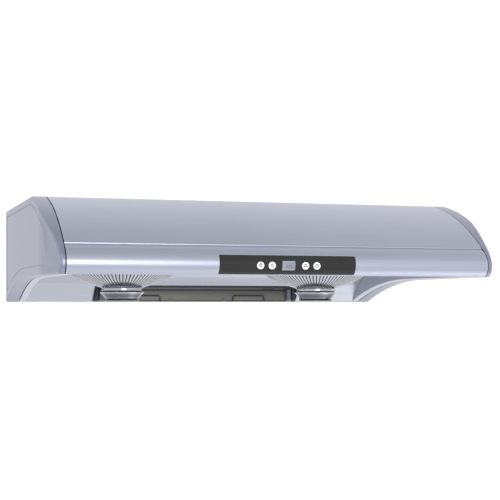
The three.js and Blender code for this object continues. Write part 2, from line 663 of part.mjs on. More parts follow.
/** Conical grille with radial slots, a flat rim under the ceiling and bayonet lugs above it. */
function coneGrille() {
  const rimTop = PAN_CEILING - GAP;
  const rimFoot = rimTop - GRILLE_RIM;
  const [R, r, z] = [grilleRadius, GRILLE_FOOT_RADIUS, GRILLE_FOOT_HEIGHT];
  const profile = [
    [R, rimTop], [R, rimFoot], [r, z], [r - 5, z], [r - 5, z + GRILLE_SHELL], [r - 1, z + GRILLE_SHELL + 0.4],
    [R - 9, rimFoot + GRILLE_SHELL - 2], [R - 13, rimTop],
  ];
  const cone = turned(profile.reverse(), -fanX, fanY, FINE_ROUND);
  const slots = ringed(GRILLE_SLOTS, (angle) =>
    lugBlock(-fanX, angle, r + SLOT_ENDS[0], R - SLOT_ENDS[1], SLOT_WIDTH, [z - 5, rimTop + 1]));
  const locked = LOCK_ANGLE * degrees;
  const lugs = ringed(LUGS, (angle) => {
    const [inner, outer] = [INLET_RADIUS - LUG_REACH[0], INLET_RADIUS + LUG_REACH[1]];
    const neck = lugBlock(-fanX, angle + locked, inner, INLET_RADIUS - 2, LUG_WIDTH, [rimFoot + 0.5, panTop + 2]);
    const hook = lugBlock(-fanX, angle + locked, inner, outer, LUG_WIDTH, [panTop + GAP, panTop + 2]);
    return neck.add(hook);
  });
  return joined([cut(cone, slots), ...lugs]);
}

function grilleRing() {
  const [R, wall] = [GRILLE_FOOT_RADIUS, RING_WALL];
  const profile = [[R, ringTop], [R - 0.5, ringTop - 1.6], [R - 0.5, ringTop - 4.4], [R - 1.6, ringFoot],
    [R - 1.6 - wall, ringFoot], [R - 1.6 - wall, ringTop]];
  return turned(profile.reverse(), -fanX, fanY, FINE_ROUND);
}

/** Funnel-shaped oil cup with a round foot and three tabs that turn into the ring. */
function oilCup() {
  const [R, r, wall] = [CUP_RIM_RADIUS, CUP_BASE_RADIUS, CUP_WALL];
  const foot = cupTop - CUP_HEIGHT;
  const profile = [
    [0, foot], [CUP_FOOT_RADIUS, foot], [CUP_FOOT_RADIUS, foot + CUP_FOOT], [r, foot + CUP_FOOT], [R, cupTop],
    [R - wall * 1.4, cupTop], [r - wall, foot + CUP_FOOT + wall], [0, foot + CUP_FOOT + wall],
  ];
  const bowl = turned(profile, -fanX, fanY, FINE_ROUND);
  const reach = GRILLE_FOOT_RADIUS - 1.6 - RING_WALL - LOOSE;
  const tabs = ringed(LUGS, (angle) =>
    lugBlock(-fanX, angle, reach - 2, reach, 7, [foot + CUP_FOOT + 0.5, ringFoot + 4]));
  return joined([bowl, ...tabs]);
}

// ---------------------------------------------------------------- blowers

/** Scroll outline of the left blower: a spiral that opens towards the hood's middle at the rear. */
function scroll(inset) {
  const steps = 28;
  const start = SCROLL_ANGLE * degrees;
  const turn = -SCROLL_TURN * degrees;
  const spiral = Array.from({ length: steps + 1 }, (_, i) => {
    const angle = start + (turn * i) / steps;
    const radius = scrollStart + (SCROLL_GROWTH * i) / steps - inset;
    return [-fanX + radius * Math.cos(angle), fanY + radius * Math.sin(angle)];
  });
  const reach = inset ? outletX + 1 : outletX;
  return [...spiral, [reach, spiral.at(-1)[1]], [reach, spiral[0][1]]].reverse();
}

/** Blower housing: floor with the inlet and the scroll wall; its outlet side is open. */
function blowerHousing() {
  const outer = alongZ(scroll(0), housingFoot, housingTop - SHEET - GAP);
  const inner = alongZ(scroll(SHEET), housingFoot + SHEET, housingTop + 1);
  const inlet = rod(WHEEL_RADIUS - INLET_LAP, -fanX, fanY, housingFoot - 1, housingFoot + SHEET + 1, FINE_ROUND);
  return outer.subtract(inner).subtract(inlet);
}

/** Roof of the blower housing, with the hole that the motor hangs in. */
function blowerCover() {
  const plate = alongZ(scroll(0), housingTop - SHEET, housingTop);
  return plate.subtract(rod(MOTOR_RADIUS - MOTOR_SEAT, -fanX, fanY, housingTop - 4, housingTop + 1));
}

/** Squirrel cage wheel: two end rings, a web and slanted blades. */
function impeller() {
  const [R, r] = [WHEEL_RADIUS, WHEEL_RADIUS - WHEEL_BLADE];
  const ring = (z0, z1) => turned([[r, z0], [R, z0], [R, z1], [r, z1]], -fanX, fanY, FINE_ROUND);
  const [bore, hub, z] = [SHAFT_RADIUS + GAP, HUB_RADIUS, hubTop];
  const web = turned(
    [[bore, z - 14], [hub, z - 14], [hub, z - 3], [R - 2, z - 3], [R - 2, z], [bore, z]], -fanX, fanY, FINE_ROUND);
  const blades = ringed(WHEEL_BLADES, (angle) => {
    const geometry = new THREE.BoxGeometry(WHEEL_BLADE - 2, BLADE_WALL, wheelTop - wheelFoot - 2);
    geometry.rotateZ(BLADE_SLANT * degrees).translate((R + r) / 2, 0, (wheelFoot + wheelTop) / 2);
    return solid(geometry.rotateZ(angle).translate(-fanX, fanY, 0));
  });
  return joined([web, ring(wheelFoot, wheelFoot + WHEEL_RING), ring(wheelTop - WHEEL_RING, wheelTop), ...blades]);
}

/** Motor body: a finned can that hangs from the blower's roof. */
function motor() {
  const [R, z0, z1] = [MOTOR_RADIUS, motorFoot, housingTop - SHEET - GAP];
  const [bore, boss, well] = [SHAFT_RADIUS + LOOSE, HUB_RADIUS + 2, R - 2 * MOTOR_SEAT];
  const profile = [[bore, z0], [boss, z0], [boss + 2, z0 + 3], [R - MOTOR_SEAT, z0 + 3], [R, z0 + 8], [R, z1],
    [well, z1], [well, z1 - 4], [bore, z1 - 4]];
  return turned(profile, -fanX, fanY);
}

function motorShaft() {
  return rod(SHAFT_RADIUS, -fanX, fanY, hubTop - 13, housingTop - SHEET - 1, SMALL_ROUND);
}

/** Motor capacitor, clamped to the front of the plenum. */
function capacitor() {
  const end = plenumFront - GAP;
  return rodY(CAPACITOR_RADIUS, -CAPACITOR_PLACE, (plenumTop + housingFoot) / 2, end - CAPACITOR_LENGTH, end);
}

// ---------------------------------------------------------------- duct, damper and wiring

/** Box between the two blowers that leads up to the duct. */
function ductPlenum() {
  const [h, z0, z1] = [plenumHalf, housingFoot, plenumTop];
  const outer = block([-h, plenumFront, z0], [h, behindWall - GAP, z1]);
  const rear = behindWall - GAP - SHEET;
  const inner = block([-h + SHEET, plenumFront + SHEET, z0 + SHEET], [h - SHEET, rear, z1 - SHEET]);
  const mouth = scroll(SHEET);
  const [y0, y1] = [Math.min(mouth[0][1], mouth[1][1]), Math.max(mouth[0][1], mouth[1][1])];
  const inlets = block([-h - 1, y0, z0 + SHEET], [h + 1, y1, z1 - SHEET]);
  const duct = rod(DUCT_RADIUS - DUCT_LIP, 0, ductY, z1 - 4, z1 + 1, FINE_ROUND);
  return cut(outer.subtract(inner), [inlets, duct]);
}

/** Short round collar that the duct slips into, with bearings for the damper pin. */
function ductCollar() {
  const [R, outer, z0] = [DUCT_RADIUS, DUCT_RADIUS + SHEET, collarFoot];
  const [inner, z1] = [R - DUCT_LIP, z0 + SHEET];
  const tube = turned([[R, z0], [outer, z0], [outer, HEIGHT], [R, HEIGHT]], 0, ductY, FINE_ROUND);
  const foot = turned([[inner, z0], [outer, z0], [outer, z1], [inner, z1]], 0, ductY, FINE_ROUND);
  const pin = rodX(PIN_RADIUS + GAP, ductY, pinHeight, -R - 10, R + 10);
  return tube.add(foot).subtract(pin);
}

/** Half-round flap with a rolled edge round the pin; the rear half lies behind the pin. */
function damperFlap(rear) {
  const R = DUCT_RADIUS - 1.5;
  const clear = PIN_RADIUS + LOOSE;
  const z = [pinHeight - FLAP_WALL / 2, pinHeight + FLAP_WALL / 2];
  const y0 = rear ? ductY + clear - 0.1 : ductY - R - 1;
  const y1 = rear ? ductY + R + 1 : ductY - clear + 0.1;
  const half = block([-R - 1, y0, z[0] - 1], [R + 1, y1, z[1] + 1]);
  const disc = rod(R, 0, ductY, ...z, FINE_ROUND).intersect(half);
  const [eyeRadius, reach] = [clear + KNUCKLE_WALL, KNUCKLE_HALF];
  const knuckles = (rear ? REAR_KNUCKLES : FRONT_KNUCKLES).map((x) => {
    const eye = rodX(eyeRadius, ductY, pinHeight, x - reach, x + reach);
    return eye.subtract(rodX(clear - GAP, ductY, pinHeight, x - reach - 1, x + reach + 1));
  });
  return joined([disc, ...knuckles]);
}

/** Room in each flap for the other one's knuckles. */
function clearedFlap(rear) {
  const [radius, reach] = [PIN_RADIUS + KNUCKLE_WALL + 2 * LOOSE, KNUCKLE_HALF + LOOSE];
  const others = (rear ? FRONT_KNUCKLES : REAR_KNUCKLES).map((x) =>
    rodX(radius, ductY, pinHeight, x - reach, x + reach));
  return cut(damperFlap(rear), others);
}

function damperPin() {
  const half = DUCT_RADIUS + SHEET - 0.2;
  return rodX(PIN_RADIUS, ductY, pinHeight, -half, half, SMALL_ROUND);
}

/** Wiring box that hangs under the top panel, open below. */
function junctionBox() {
  const [hx, hy] = BOX_HALF;
  const [z0, z1] = [underTop - BOX_TALL, underTop];
  const outer = block([boxX - hx, boxY - hy, z0], [boxX + hx, boxY + hy, z1]);
  const [ix, iy] = [hx - SHEET, hy - SHEET];
  const inner = block([boxX - ix, boxY - iy, z0 - 1], [boxX + ix, boxY + iy, z1 - SHEET]);
  return cut(outer, [inner, rod(CABLE_HOLE, boxX, boxY, z1 - 4, z1 + 1)]);
}

function junctionCover() {
  const [hx, hy] = BOX_HALF;
  const z = underTop - BOX_TALL - GAP;
  return block([boxX - hx, boxY - hy, z - SHEET], [boxX + hx, boxY + hy, z]);
}

/** Bushing that lines the supply cable's hole through the top panel and the box. */
function cableBushing() {
  const [R, low, high] = [CABLE_HOLE - GAP, underTop - SHEET - GAP - 2, HEIGHT - 0.1];
  const profile = [[R - 3, low], [R + 3, low], [R + 3, low + 2], [R, low + 2], [R, high], [R - 3, high]];
  return turned(profile, boxX, boxY);
}

// ---------------------------------------------------------------- the assembly

const hood = new THREE.Group();

function add(name, body, material) {
  const { vertProperties, triVerts } = body.getMesh();
  const geometry = new THREE.BufferGeometry();
  geometry.setAttribute('position', new THREE.BufferAttribute(Float32Array.from(vertProperties), 3));
  geometry.setIndex(new THREE.BufferAttribute(Uint32Array.from(triVerts), 1));
  geometry.computeVertexNormals();
  const mesh = new THREE.Mesh(geometry, material);
  mesh.name = name;
  hood.add(mesh);
}

/** Adds a left piece and its mirror image on the right. */
function addPair(name, body, material) {
  add(`${name}_left`, body, material);
  add(`${name}_right`, mirrored(body), material);
}

add('top_panel', topPanel(), STEEL);
add('back_panel', backPanel(), GALVANISED);
addPair('end_cap', endCap(), CAP_PAINT);
add('canopy_panel', canopyPanel(), STEEL);
add('front_fascia', frontFascia(), STEEL);

add('control_panel', controlPanel(), BLACK_GLOSS);
buttonPlaces.forEach((x, i) => add(buttonNames[i], button(x), WHITE_PLASTIC));
add('display_window', displayWindow(), DISPLAY_GLASS);
add('display_module', displayModule(), DARK_PLASTIC);
add('control_board', controlBoard(), BOARD_GREEN);
add('control_housing', controlHousing(), GALVANISED);

add('ceiling_panel', ceilingPanel(), STEEL);
add('front_rail', frontRail(), STEEL);
add('rear_cove', rearCove(), STEEL);
addPair('side_liner', sideLiner(), STEEL);
add('recess_frame', recessFrame(), DARK_PLASTIC);
add('rear_access_cover', rearAccessCover(), TRAY_PAINT);
addPair('cover_handle', coverHandle(-HANDLE_PLACE), DARK_PLASTIC);
addPair('access_screw', accessScrew(-COVER_SCREW[0]), POLISHED);
addPair('lamp_housing', lampHousing(), ALUMINIUM);
addPair('lamp_lens', lampLens(), FROSTED);

addPair('cone_grille', coneGrille(), POLISHED);
addPair('grille_ring', grilleRing(), POLISHED);
addPair('oil_cup', oilCup(), POLISHED);

addPair('blower_housing', blowerHousing(), GALVANISED);
addPair('blower_cover', blowerCover(), GALVANISED);
addPair('impeller', impeller(), GALVANISED);
addPair('motor', motor(), ALUMINIUM);
addPair('motor_shaft', motorShaft(), POLISHED);
addPair('capacitor', capacitor(), ALUMINIUM);

add('duct_plenum', ductPlenum(), GALVANISED);
add('duct_collar', ductCollar(), GALVANISED);
add('damper_flap_front', clearedFlap(false), GALVANISED);
add('damper_flap_rear', clearedFlap(true), GALVANISED);
add('damper_pin', damperPin(), POLISHED);
add('junction_box', junctionBox(), GALVANISED);
add('junction_cover', junctionCover(), GALVANISED);
add('cable_bushing', cableBushing(), DARK_PLASTIC);

export default hood;
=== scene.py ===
"""Looks of an under cabinet range hood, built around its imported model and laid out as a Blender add-on.

Metres, +Z up, +Y towards the wall. Places come from the model's own nodes, and driving sizes and colours from
the two property groups. profile() and mm() take millimetres.
"""

import json
import math

import bmesh
import bpy
from mathutils import Matrix, Vector


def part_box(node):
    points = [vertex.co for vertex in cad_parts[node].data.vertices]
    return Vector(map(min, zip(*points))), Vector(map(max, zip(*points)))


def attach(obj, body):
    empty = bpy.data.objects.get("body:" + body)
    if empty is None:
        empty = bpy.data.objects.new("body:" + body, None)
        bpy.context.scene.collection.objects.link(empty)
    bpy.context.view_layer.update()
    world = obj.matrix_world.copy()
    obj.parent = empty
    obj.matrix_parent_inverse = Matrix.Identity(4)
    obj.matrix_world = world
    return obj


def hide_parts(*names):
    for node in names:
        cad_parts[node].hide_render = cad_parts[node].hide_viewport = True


bl_info = {
    "name": "Range Hood Builder",
    "version": (1, 0, 0),
    "blender": (4, 5, 0),
    "location": "View3D > Sidebar > Hood",
    "description": "Builds the visible pieces, finishes and stage of an under cabinet range hood",
    "category": "Object",
}

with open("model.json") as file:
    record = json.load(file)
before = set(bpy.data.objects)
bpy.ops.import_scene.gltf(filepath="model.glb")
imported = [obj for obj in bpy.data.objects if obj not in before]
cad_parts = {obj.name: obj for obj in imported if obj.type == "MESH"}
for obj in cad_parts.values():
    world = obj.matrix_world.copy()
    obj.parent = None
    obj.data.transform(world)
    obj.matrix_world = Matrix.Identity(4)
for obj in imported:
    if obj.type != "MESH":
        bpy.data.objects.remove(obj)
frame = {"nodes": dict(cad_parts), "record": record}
MM = 0.001
X, Y, Z = Vector((1, 0, 0)), Vector((0, 1, 0)), Vector((0, 0, 1))
SIDES = (("left", -1), ("right", 1))


def low(node):
    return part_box(node)[0]


def high(node):
    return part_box(node)[1]


def middle(node):
    return (low(node) + high(node)) / 2


# ------------------------------------------------------------------ properties


def length(name, description, default):
    """A size of the hood, given in millimetres and kept in metres."""
    return bpy.props.FloatProperty(name=name, description=description, default=default * MM, min=0,
                                   precision=5, unit="LENGTH", subtype="DISTANCE")


def colour(name, description, default):
    return bpy.props.FloatVectorProperty(name=name, description=description, default=default, size=3,
                                         min=0, max=1, subtype="COLOR")


def count(name, description, default):
    return bpy.props.IntProperty(name=name, description=description, default=default, min=3)


def angle(name, description, default):
    return bpy.props.FloatProperty(name=name, description=description, default=math.radians(default),
                                   unit="ROTATION", subtype="ANGLE")


def factor(name, description, default):
    return bpy.props.FloatProperty(name=name, description=description, default=default, min=0, max=1,
                                   subtype="FACTOR")


class HoodShape(bpy.types.PropertyGroup):
    """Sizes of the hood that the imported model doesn't give."""

    sheet: length("Sheet", "Thickness of the folded sheet", 1.2)
    gap: length("Gap", "Clearance between pieces that touch", 0.3)
    ridge_height: length("Crease height", "Crease between the canopy and the fascia", 91.5)
    nose_height: length("Nose height", "Foremost line of the fascia", 61.5)
    canopy_start_angle: angle("Canopy start", "Slope below level where the canopy leaves the flat top", 11)
    canopy_end_angle: angle("Canopy end", "Slope below level where the canopy meets the crease", 38)
    fascia_angle: angle("Fascia start", "Slope below level just under the crease", 36)
    sweep_run: length("Sweep", "Run of the side edge that sweeps down to the wall", 265)
    lip_setback: length("Lip", "Lip behind the nose", 13)
    lip_round: length("Lip rounding", "Height over which the fascia turns under into the lip", 5.5)
    cap_taper: length("Cap taper", "How much narrower an end cap is at the nose", 17)
    cap_taper_run: length("Taper run", "Length over which an end cap narrows", 113)
    seam_trim: length("Seam", "Canopy and fascia short of the packed model's, on each side", 0.5)
    cap_round: length("Cap rounding", "Radius of an end cap's outer edge", 3.2)
    cap_recess: length("Cap recess", "Depth of the pressed field in an end cap", 1.5)
    hem: length("Hem", "Height of the canopy's folded lower edge", 2)
    fold: length("Fold", "Radius of the folds of the underside", 5)
    louvres: count("Louvres", "Slots of a fan grille", 84)
    blades: count("Blades", "Blades of a fan wheel", 42)
    panel_corner: length("Panel corner", "Rounded corner of the control panel", 1.5)


class HoodFinish(bpy.types.PropertyGroup):
    """Colours of the hood's finishes, as linear values."""

    steel: colour("Steel", "Brushed stainless sheet", (0.385, 0.405, 0.49))
    steel_roughness: factor("Steel roughness", "Sheen of the brushed sheet", 0.36)
    cap: colour("End cap", "Satin painted end caps", (0.235, 0.25, 0.33))
    # The brushed steel again, for the underside walls and the ceiling, its brightness set as painted light.
    liner: colour("Liner", "Side walls of the underside", (0.46, 0.475, 0.55))
    # The brushed steel again, for the cove, its brightness set as painted light: an average of the light
    # across it.
    cove: colour("Cove", "Bright sheet of the rear cove", (0.385, 0.40, 0.455))
    polished: colour("Polished", "Polished steel of the grilles and cups", (0.44, 0.455, 0.50))
    # Base of the oil cups and grille rings, darkened as a painted dark reflection.
    cup: colour("Oil cups", "Dark mirror of the oil cups", (0.22, 0.23, 0.255))
    zinc: colour("Zinc", "Galvanised sheet of the blowers", (0.46, 0.48, 0.50))
    panel: colour("Panel", "Glossy control panel", (0.028, 0.028, 0.028))
    button: colour("Button", "Push buttons", (0.86, 0.875, 0.89))
    icon: colour("Icon", "Marks on the buttons", (0.05, 0.055, 0.075))
    display: colour("Display", "Display window", (0.24, 0.262, 0.31))
    # Cover plate: its own grey, with a warm tint that is a painted reflection.
    tray: colour("Cover", "Cover plate in the recess", (0.13, 0.129, 0.116))
    dark: colour("Dark trim", "Recess frame and handles", (0.022, 0.026, 0.042))
    board: colour("Board", "Circuit board", (0.02, 0.11, 0.05))
    floor: colour("Floor", "Plain pale floor", (0.9, 0.9, 0.9))


def shape():
    return bpy.context.scene.hood_shape


def finishes():
    return bpy.context.scene.hood_finish


# ------------------------------------------------------------------ shader maths


class Wire:
    """An output socket that takes part in Python expressions; each operator adds a Math node."""

    def __init__(self, graph, socket):
        self.graph = graph
        self.socket = socket

    def _math(self, operation, *values):
        node = self.graph.node("ShaderNodeMath", {"operation": operation}, dict(enumerate(values)))
        return Wire(self.graph, node.outputs[0])

    def __add__(self, other):
        return self._math("ADD", self, other)

    def __sub__(self, other):
        return self._math("SUBTRACT", self, other)

    def __mul__(self, other):
        return self._math("MULTIPLY", self, other)

    def __truediv__(self, other):
        return self._math("DIVIDE", self, other)

    def __pow__(self, other):
        return self._math("POWER", self, other)

    def __radd__(self, other):
        return self._math("ADD", other, self)

    def __rsub__(self, other):
        return self._math("SUBTRACT", other, self)

    def __rmul__(self, other):
        return self._math("MULTIPLY", other, self)

    def __rtruediv__(self, other):
        return self._math("DIVIDE", other, self)

    def does(self, operation, *values):
        """Any other operation of the Math node."""
        return self._math(operation, self, *values)


class Graph:
    """A node tree and the one method that adds nodes to it."""

    def __init__(self, tree):
        self.tree = tree

    def node(self, kind, settings=None, values=None):
        """Adds a node: its settings first, then the value or link of each named or numbered input."""
        made = self.tree.nodes.new(kind)
        for key, value in (settings or {}).items():
            if key == "stops":
                ramp = made.color_ramp.elements
                while len(ramp) < len(value):
                    ramp.new(0.5)
                for stop, (place, level) in zip(ramp, value):
                    stop.position = place
                    stop.color = (level, level, level, 1)
            else:
                setattr(made, key, value)
        for key, value in (values or {}).items():
            socket = made.inputs[key]
            if isinstance(value, Wire):
                self.tree.links.new(value.socket, socket)
            else:
                socket.default_value = value
        return made

    def out(self, node, name):
        return Wire(self, node.outputs[name])

    def ramp(self, value, stops):
        return self.out(self.node("ShaderNodeValToRGB", {"stops": stops}, {"Fac": value}), "Color")

    def split(self, vector):
        """The X, Y and Z of a vector."""
        node = self.node("ShaderNodeSeparateXYZ", None, {"Vector": vector})
        return [self.out(node, axis) for axis in "XYZ"]


class Finish(Graph):
    """A procedural material around one Principled shader."""

    def __init__(self, name, base, metallic=0.0, roughness=0.5, **fixed):
        self.material = bpy.data.materials.new(name)
        self.material.use_nodes = True
        self.material.diffuse_color = (*base, 1)
        super().__init__(self.material.node_tree)
        self.base = base
        self.shader = self.tree.nodes["Principled BSDF"]
        fixed.update({"Base Color": (*base, 1), "Metallic": metallic, "Roughness": roughness})
        for socket, value in fixed.items():
            self.shader.inputs[socket.replace("_", " ")].default_value = value

    def place(self, scale=(1, 1, 1), turn=(0, 0, 0), centre=(0, 0, 0)):
        """Object coordinates, centred, turned and scaled."""
        where = self.node("ShaderNodeTexCoord")
        mapping = self.node(
            "ShaderNodeMapping",
            {"vector_type": "POINT"},
            {"Vector": self.out(where, "Object"), "Scale": scale, "Rotation": turn,
             "Location": tuple(-c * s for c, s in zip(centre, scale))},
        )
        return self.out(mapping, "Vector")

    def noise(self, vector, scale=1.0, detail=2.0, rough=0.5):
        values = {"Vector": vector, "Scale": scale, "Detail": detail, "Roughness": rough}
        return self.out(self.node("ShaderNodeTexNoise", None, values), "Fac")

    def cells(self, vector, scale=1.0, output="Distance", feature="F1"):
        made = self.node("ShaderNodeTexVoronoi", {"feature": feature}, {"Vector": vector, "Scale": scale})
        return self.out(made, output)

    def tint(self, amount, darker, lighter):
        """Base colour between two multiples of the plain one."""
        made = self.node(
            "ShaderNodeMix",
            {"data_type": "RGBA"},
            {"Factor": amount, 6: tuple(min(c * darker, 1) for c in self.base) + (1,),
             7: tuple(min(c * lighter, 1) for c in self.base) + (1,)},
        )
        self.link(Wire(self, made.outputs[2]), "Base Color")

    def link(self, wire, socket):
        self.tree.links.new(wire.socket, self.shader.inputs[socket])

    def bump(self, height, strength, depth=0.001):
        made = self.node("ShaderNodeBump", None, {"Height": height, "Strength": strength, "Distance": depth})
        self.link(self.out(made, "Normal"), "Normal")


def brushed(name, base, roughness, along, metallic=0.92, grain=1.0):
    """Brushed sheet: long fine scratches along one axis over faint wide clouds."""
    made = Finish(name, base, metallic, roughness)
    across = {"x": (3, 700, 700), "y": (700, 3, 700), "z": (700, 700, 3)}[along]
    lines = made.noise(made.place(across), 1.0, 3.0, 0.6)
    strands = made.noise(made.place(tuple(c / 6 for c in across)), 1.0, 1.0)
    clouds = made.noise(made.place((5, 5, 5)), 1.0, 2.0)
    mixed = lines * 0.5 + strands * 0.2 + clouds * 0.3
    made.tint(made.ramp(mixed, ((0.3, 0.0), (0.7, 1.0))), 1 - 0.09 * grain, 1 + 0.08 * grain)
    made.link(roughness + (lines - 0.5) * (0.16 * grain) + (clouds - 0.5) * 0.06, "Roughness")
    made.bump(lines, 0.05 * grain, 0.0004)
    return made.material


def satin_paint(name, base, roughness, metallic):
    """Metallic paint: tiny flakes under a soft orange peel."""
    made = Finish(name, base, metallic, roughness, Coat_Weight=0.1, Coat_Roughness=0.3)
    flakes = made.cells(made.place(), 1800, "Distance")
    peel = made.noise(made.place(), 240, 2.0)
    clouds = made.noise(made.place((6, 6, 6)), 1.0, 2.0)
    made.tint(made.ramp(flakes * 0.6 + clouds * 0.4, ((0.2, 0.0), (0.7, 1.0))), 0.94, 1.05)
    made.link(roughness + (clouds - 0.5) * 0.06 + (flakes - 0.5) * 0.05, "Roughness")
    made.bump(peel, 0.06, 0.0003)
    return made.material


def polished(name, base, roughness):
    """Polished steel with faint swirls and smears."""
    made = Finish(name, base, 1.0, roughness)
    smears = made.noise(made.place((30, 30, 12)), 1.0, 3.0)
    swirls = made.noise(made.place((400, 400, 400)), 1.0, 2.0)
    made.tint(smears, 0.93, 1.04)
    made.link(roughness + (smears - 0.5) * 0.1 + (swirls - 0.5) * 0.05, "Roughness")
    made.bump(swirls, 0.02, 0.0002)
    return made.material


def grille_steel(name, base, roughness):
    """Polished steel whose ribs have painted shade on their flanks: dark lines that run out from the grille's
    axis.
    """
    s = shape()
    made = Finish(name, base, 1.0, roughness, Specular_IOR_Level=0.05)
    x, y, _ = made.split(made.place())
    across = x.does("ABSOLUTE") - abs(fan_left.x)
    turn = (y - fan_left.y).does("ARCTAN2", across) * (s.louvres / math.tau) + 0.5
    off_centre = (turn.does("FRACT") - 0.5).does("ABSOLUTE")
    radius = (across * across + (y - fan_left.y) ** 2) ** 0.5
    ribbed = made.ramp(radius * 5, ((0.205, 0.0), (0.21, 1.0), (0.475, 1.0), (0.48, 0.0)))
    smears = made.noise(made.place((30, 30, 12)), 1.0, 3.0)
    # Painted shade on each rib's flanks: darker, duller and not metallic there.
    painted_flank_shade = made.ramp(off_centre, ((0.29, 0.0), (0.36, 1.0))) * ribbed
    made.tint(painted_flank_shade * 0.92 + smears * 0.08, 1.0, 0.16)
    made.link(roughness + painted_flank_shade * 0.6 + (smears - 0.5) * 0.08, "Roughness")
    made.link(1 - painted_flank_shade, "Metallic")
    return made.material


BANDS_PER_METRE = 40  # a stop at 1 is 25 mm up


def painted_light_banded(name, base, roughness, stops):
    """Polished steel with painted highlights on its rolled rims and painted shade between them, by height."""
    made = Finish(name, base, 1.0, roughness)
    height = made.split(made.place())[2]
    smears = made.noise(made.place((55, 55, 20)), 1.0, 3.0)
    # Painted highlights and painted shade, set by height.
    painted_highlight_and_shade = made.ramp(height * BANDS_PER_METRE, stops)
    made.tint(painted_highlight_and_shade * (0.75 + smears * 0.4), 0.25, 2.2)
    made.link(roughness + (smears - 0.5) * 0.08, "Roughness")
    return made.material


def zinc(name, base):
    """Galvanised sheet: flat crystals, each with its own tone and gloss."""
    made = Finish(name, base, 0.85, 0.45)
    crystals = made.cells(made.place(), 130, "Color")
    tone = made.node("ShaderNodeSeparateColor", None, {"Color": crystals})
    patch = made.out(tone, "Red")
    fine = made.noise(made.place(), 500, 2.0)
    made.tint(patch * 0.7 + fine * 0.3, 0.82, 1.12)
    made.link(0.34 + patch * 0.2, "Roughness")
    made.bump(fine, 0.06, 0.0003)
    return made.material


def moulded(name, base, roughness, grain=300, depth=0.1, coat=0.0, shine=0.5):
    """Moulded plastic: even skin with a fine grain."""
    made = Finish(name, base, 0.0, roughness, Coat_Weight=coat, Coat_Roughness=0.08, Specular_IOR_Level=shine)
    skin = made.noise(made.place(), grain, 3.0)
    clouds = made.noise(made.place((14, 14, 14)), 1.0, 2.0)
    made.tint(clouds * 0.6 + skin * 0.4, 0.93, 1.06)
    made.link(roughness + (skin - 0.5) * 0.08 + (clouds - 0.5) * 0.05, "Roughness")
    made.bump(skin, depth, 0.0003)
    return made.material


def cast_metal(name, base, roughness=0.45, metallic=0.9):
    """Sand cast or turned metal: grainy, with soft blotches."""
    made = Finish(name, base, metallic, roughness)
    grains = made.noise(made.place(), 700, 4.0, 0.7)
    blotches = made.noise(made.place((25, 25, 25)), 1.0, 2.0)
    made.tint(blotches * 0.5 + grains * 0.5, 0.85, 1.08)
    made.link(roughness + (grains - 0.5) * 0.2, "Roughness")
    made.bump(grains, 0.2, 0.0004)
    return made.material


def circuit(name, base):
    """Solder mask with lighter tracks on a square grid."""
    made = Finish(name, base, 0.0, 0.35, Coat_Weight=0.4)
    tracks = made.cells(made.place(), 260, "Distance", "DISTANCE_TO_EDGE")
    lit = made.ramp(tracks, ((0.04, 1.0), (0.07, 0.0)))
    made.tint(lit, 0.9, 2.4)
    made.bump(lit, 0.2, 0.0002)
    return made.material


def frosted(name, base):
    """Frosted lamp lens with a prismatic pattern."""
    made = Finish(name, base, 0.0, 0.35, Coat_Weight=0.3)
    prisms = made.cells(made.place(), 330, "Distance")
    made.tint(prisms, 1.0, 0.86)
    made.link(0.3 + prisms * 0.15, "Roughness")
    made.bump(prisms, 0.25, 0.0006)
    return made.material


def glass_window(name, base):
    """Pale display window, a little streaky."""
    made = Finish(name, base, 0.0, 0.12, Coat_Weight=0.6, Coat_Roughness=0.05)
    streaks = made.noise(made.place((60, 60, 160)), 1.0, 2.0)
    made.tint(streaks, 0.9, 1.1)
    made.link(0.1 + streaks * 0.08, "Roughness")
    return made.material


# Painted light by height for the oil cups: painted highlights on the foot and the rolled rim, painted shade
# between.
CUP_PAINTED_LIGHT = ((0.075, 0.7), (0.13, 0.2), (0.2, 0.03), (0.3, 0.3), (0.42, 0.1), (0.6, 0.25), (0.68, 0.8),
             (1.0, 0.8))
# Painted light by height for the grille rings: a painted dark line low down, a painted highlight on the lip.
RING_PAINTED_LIGHT = ((0.77, 0.05), (0.82, 0.1), (0.85, 0.7), (0.93, 0.85), (0.97, 1.0), (1.0, 1.0))
FINISH_OF_SLOT = {}


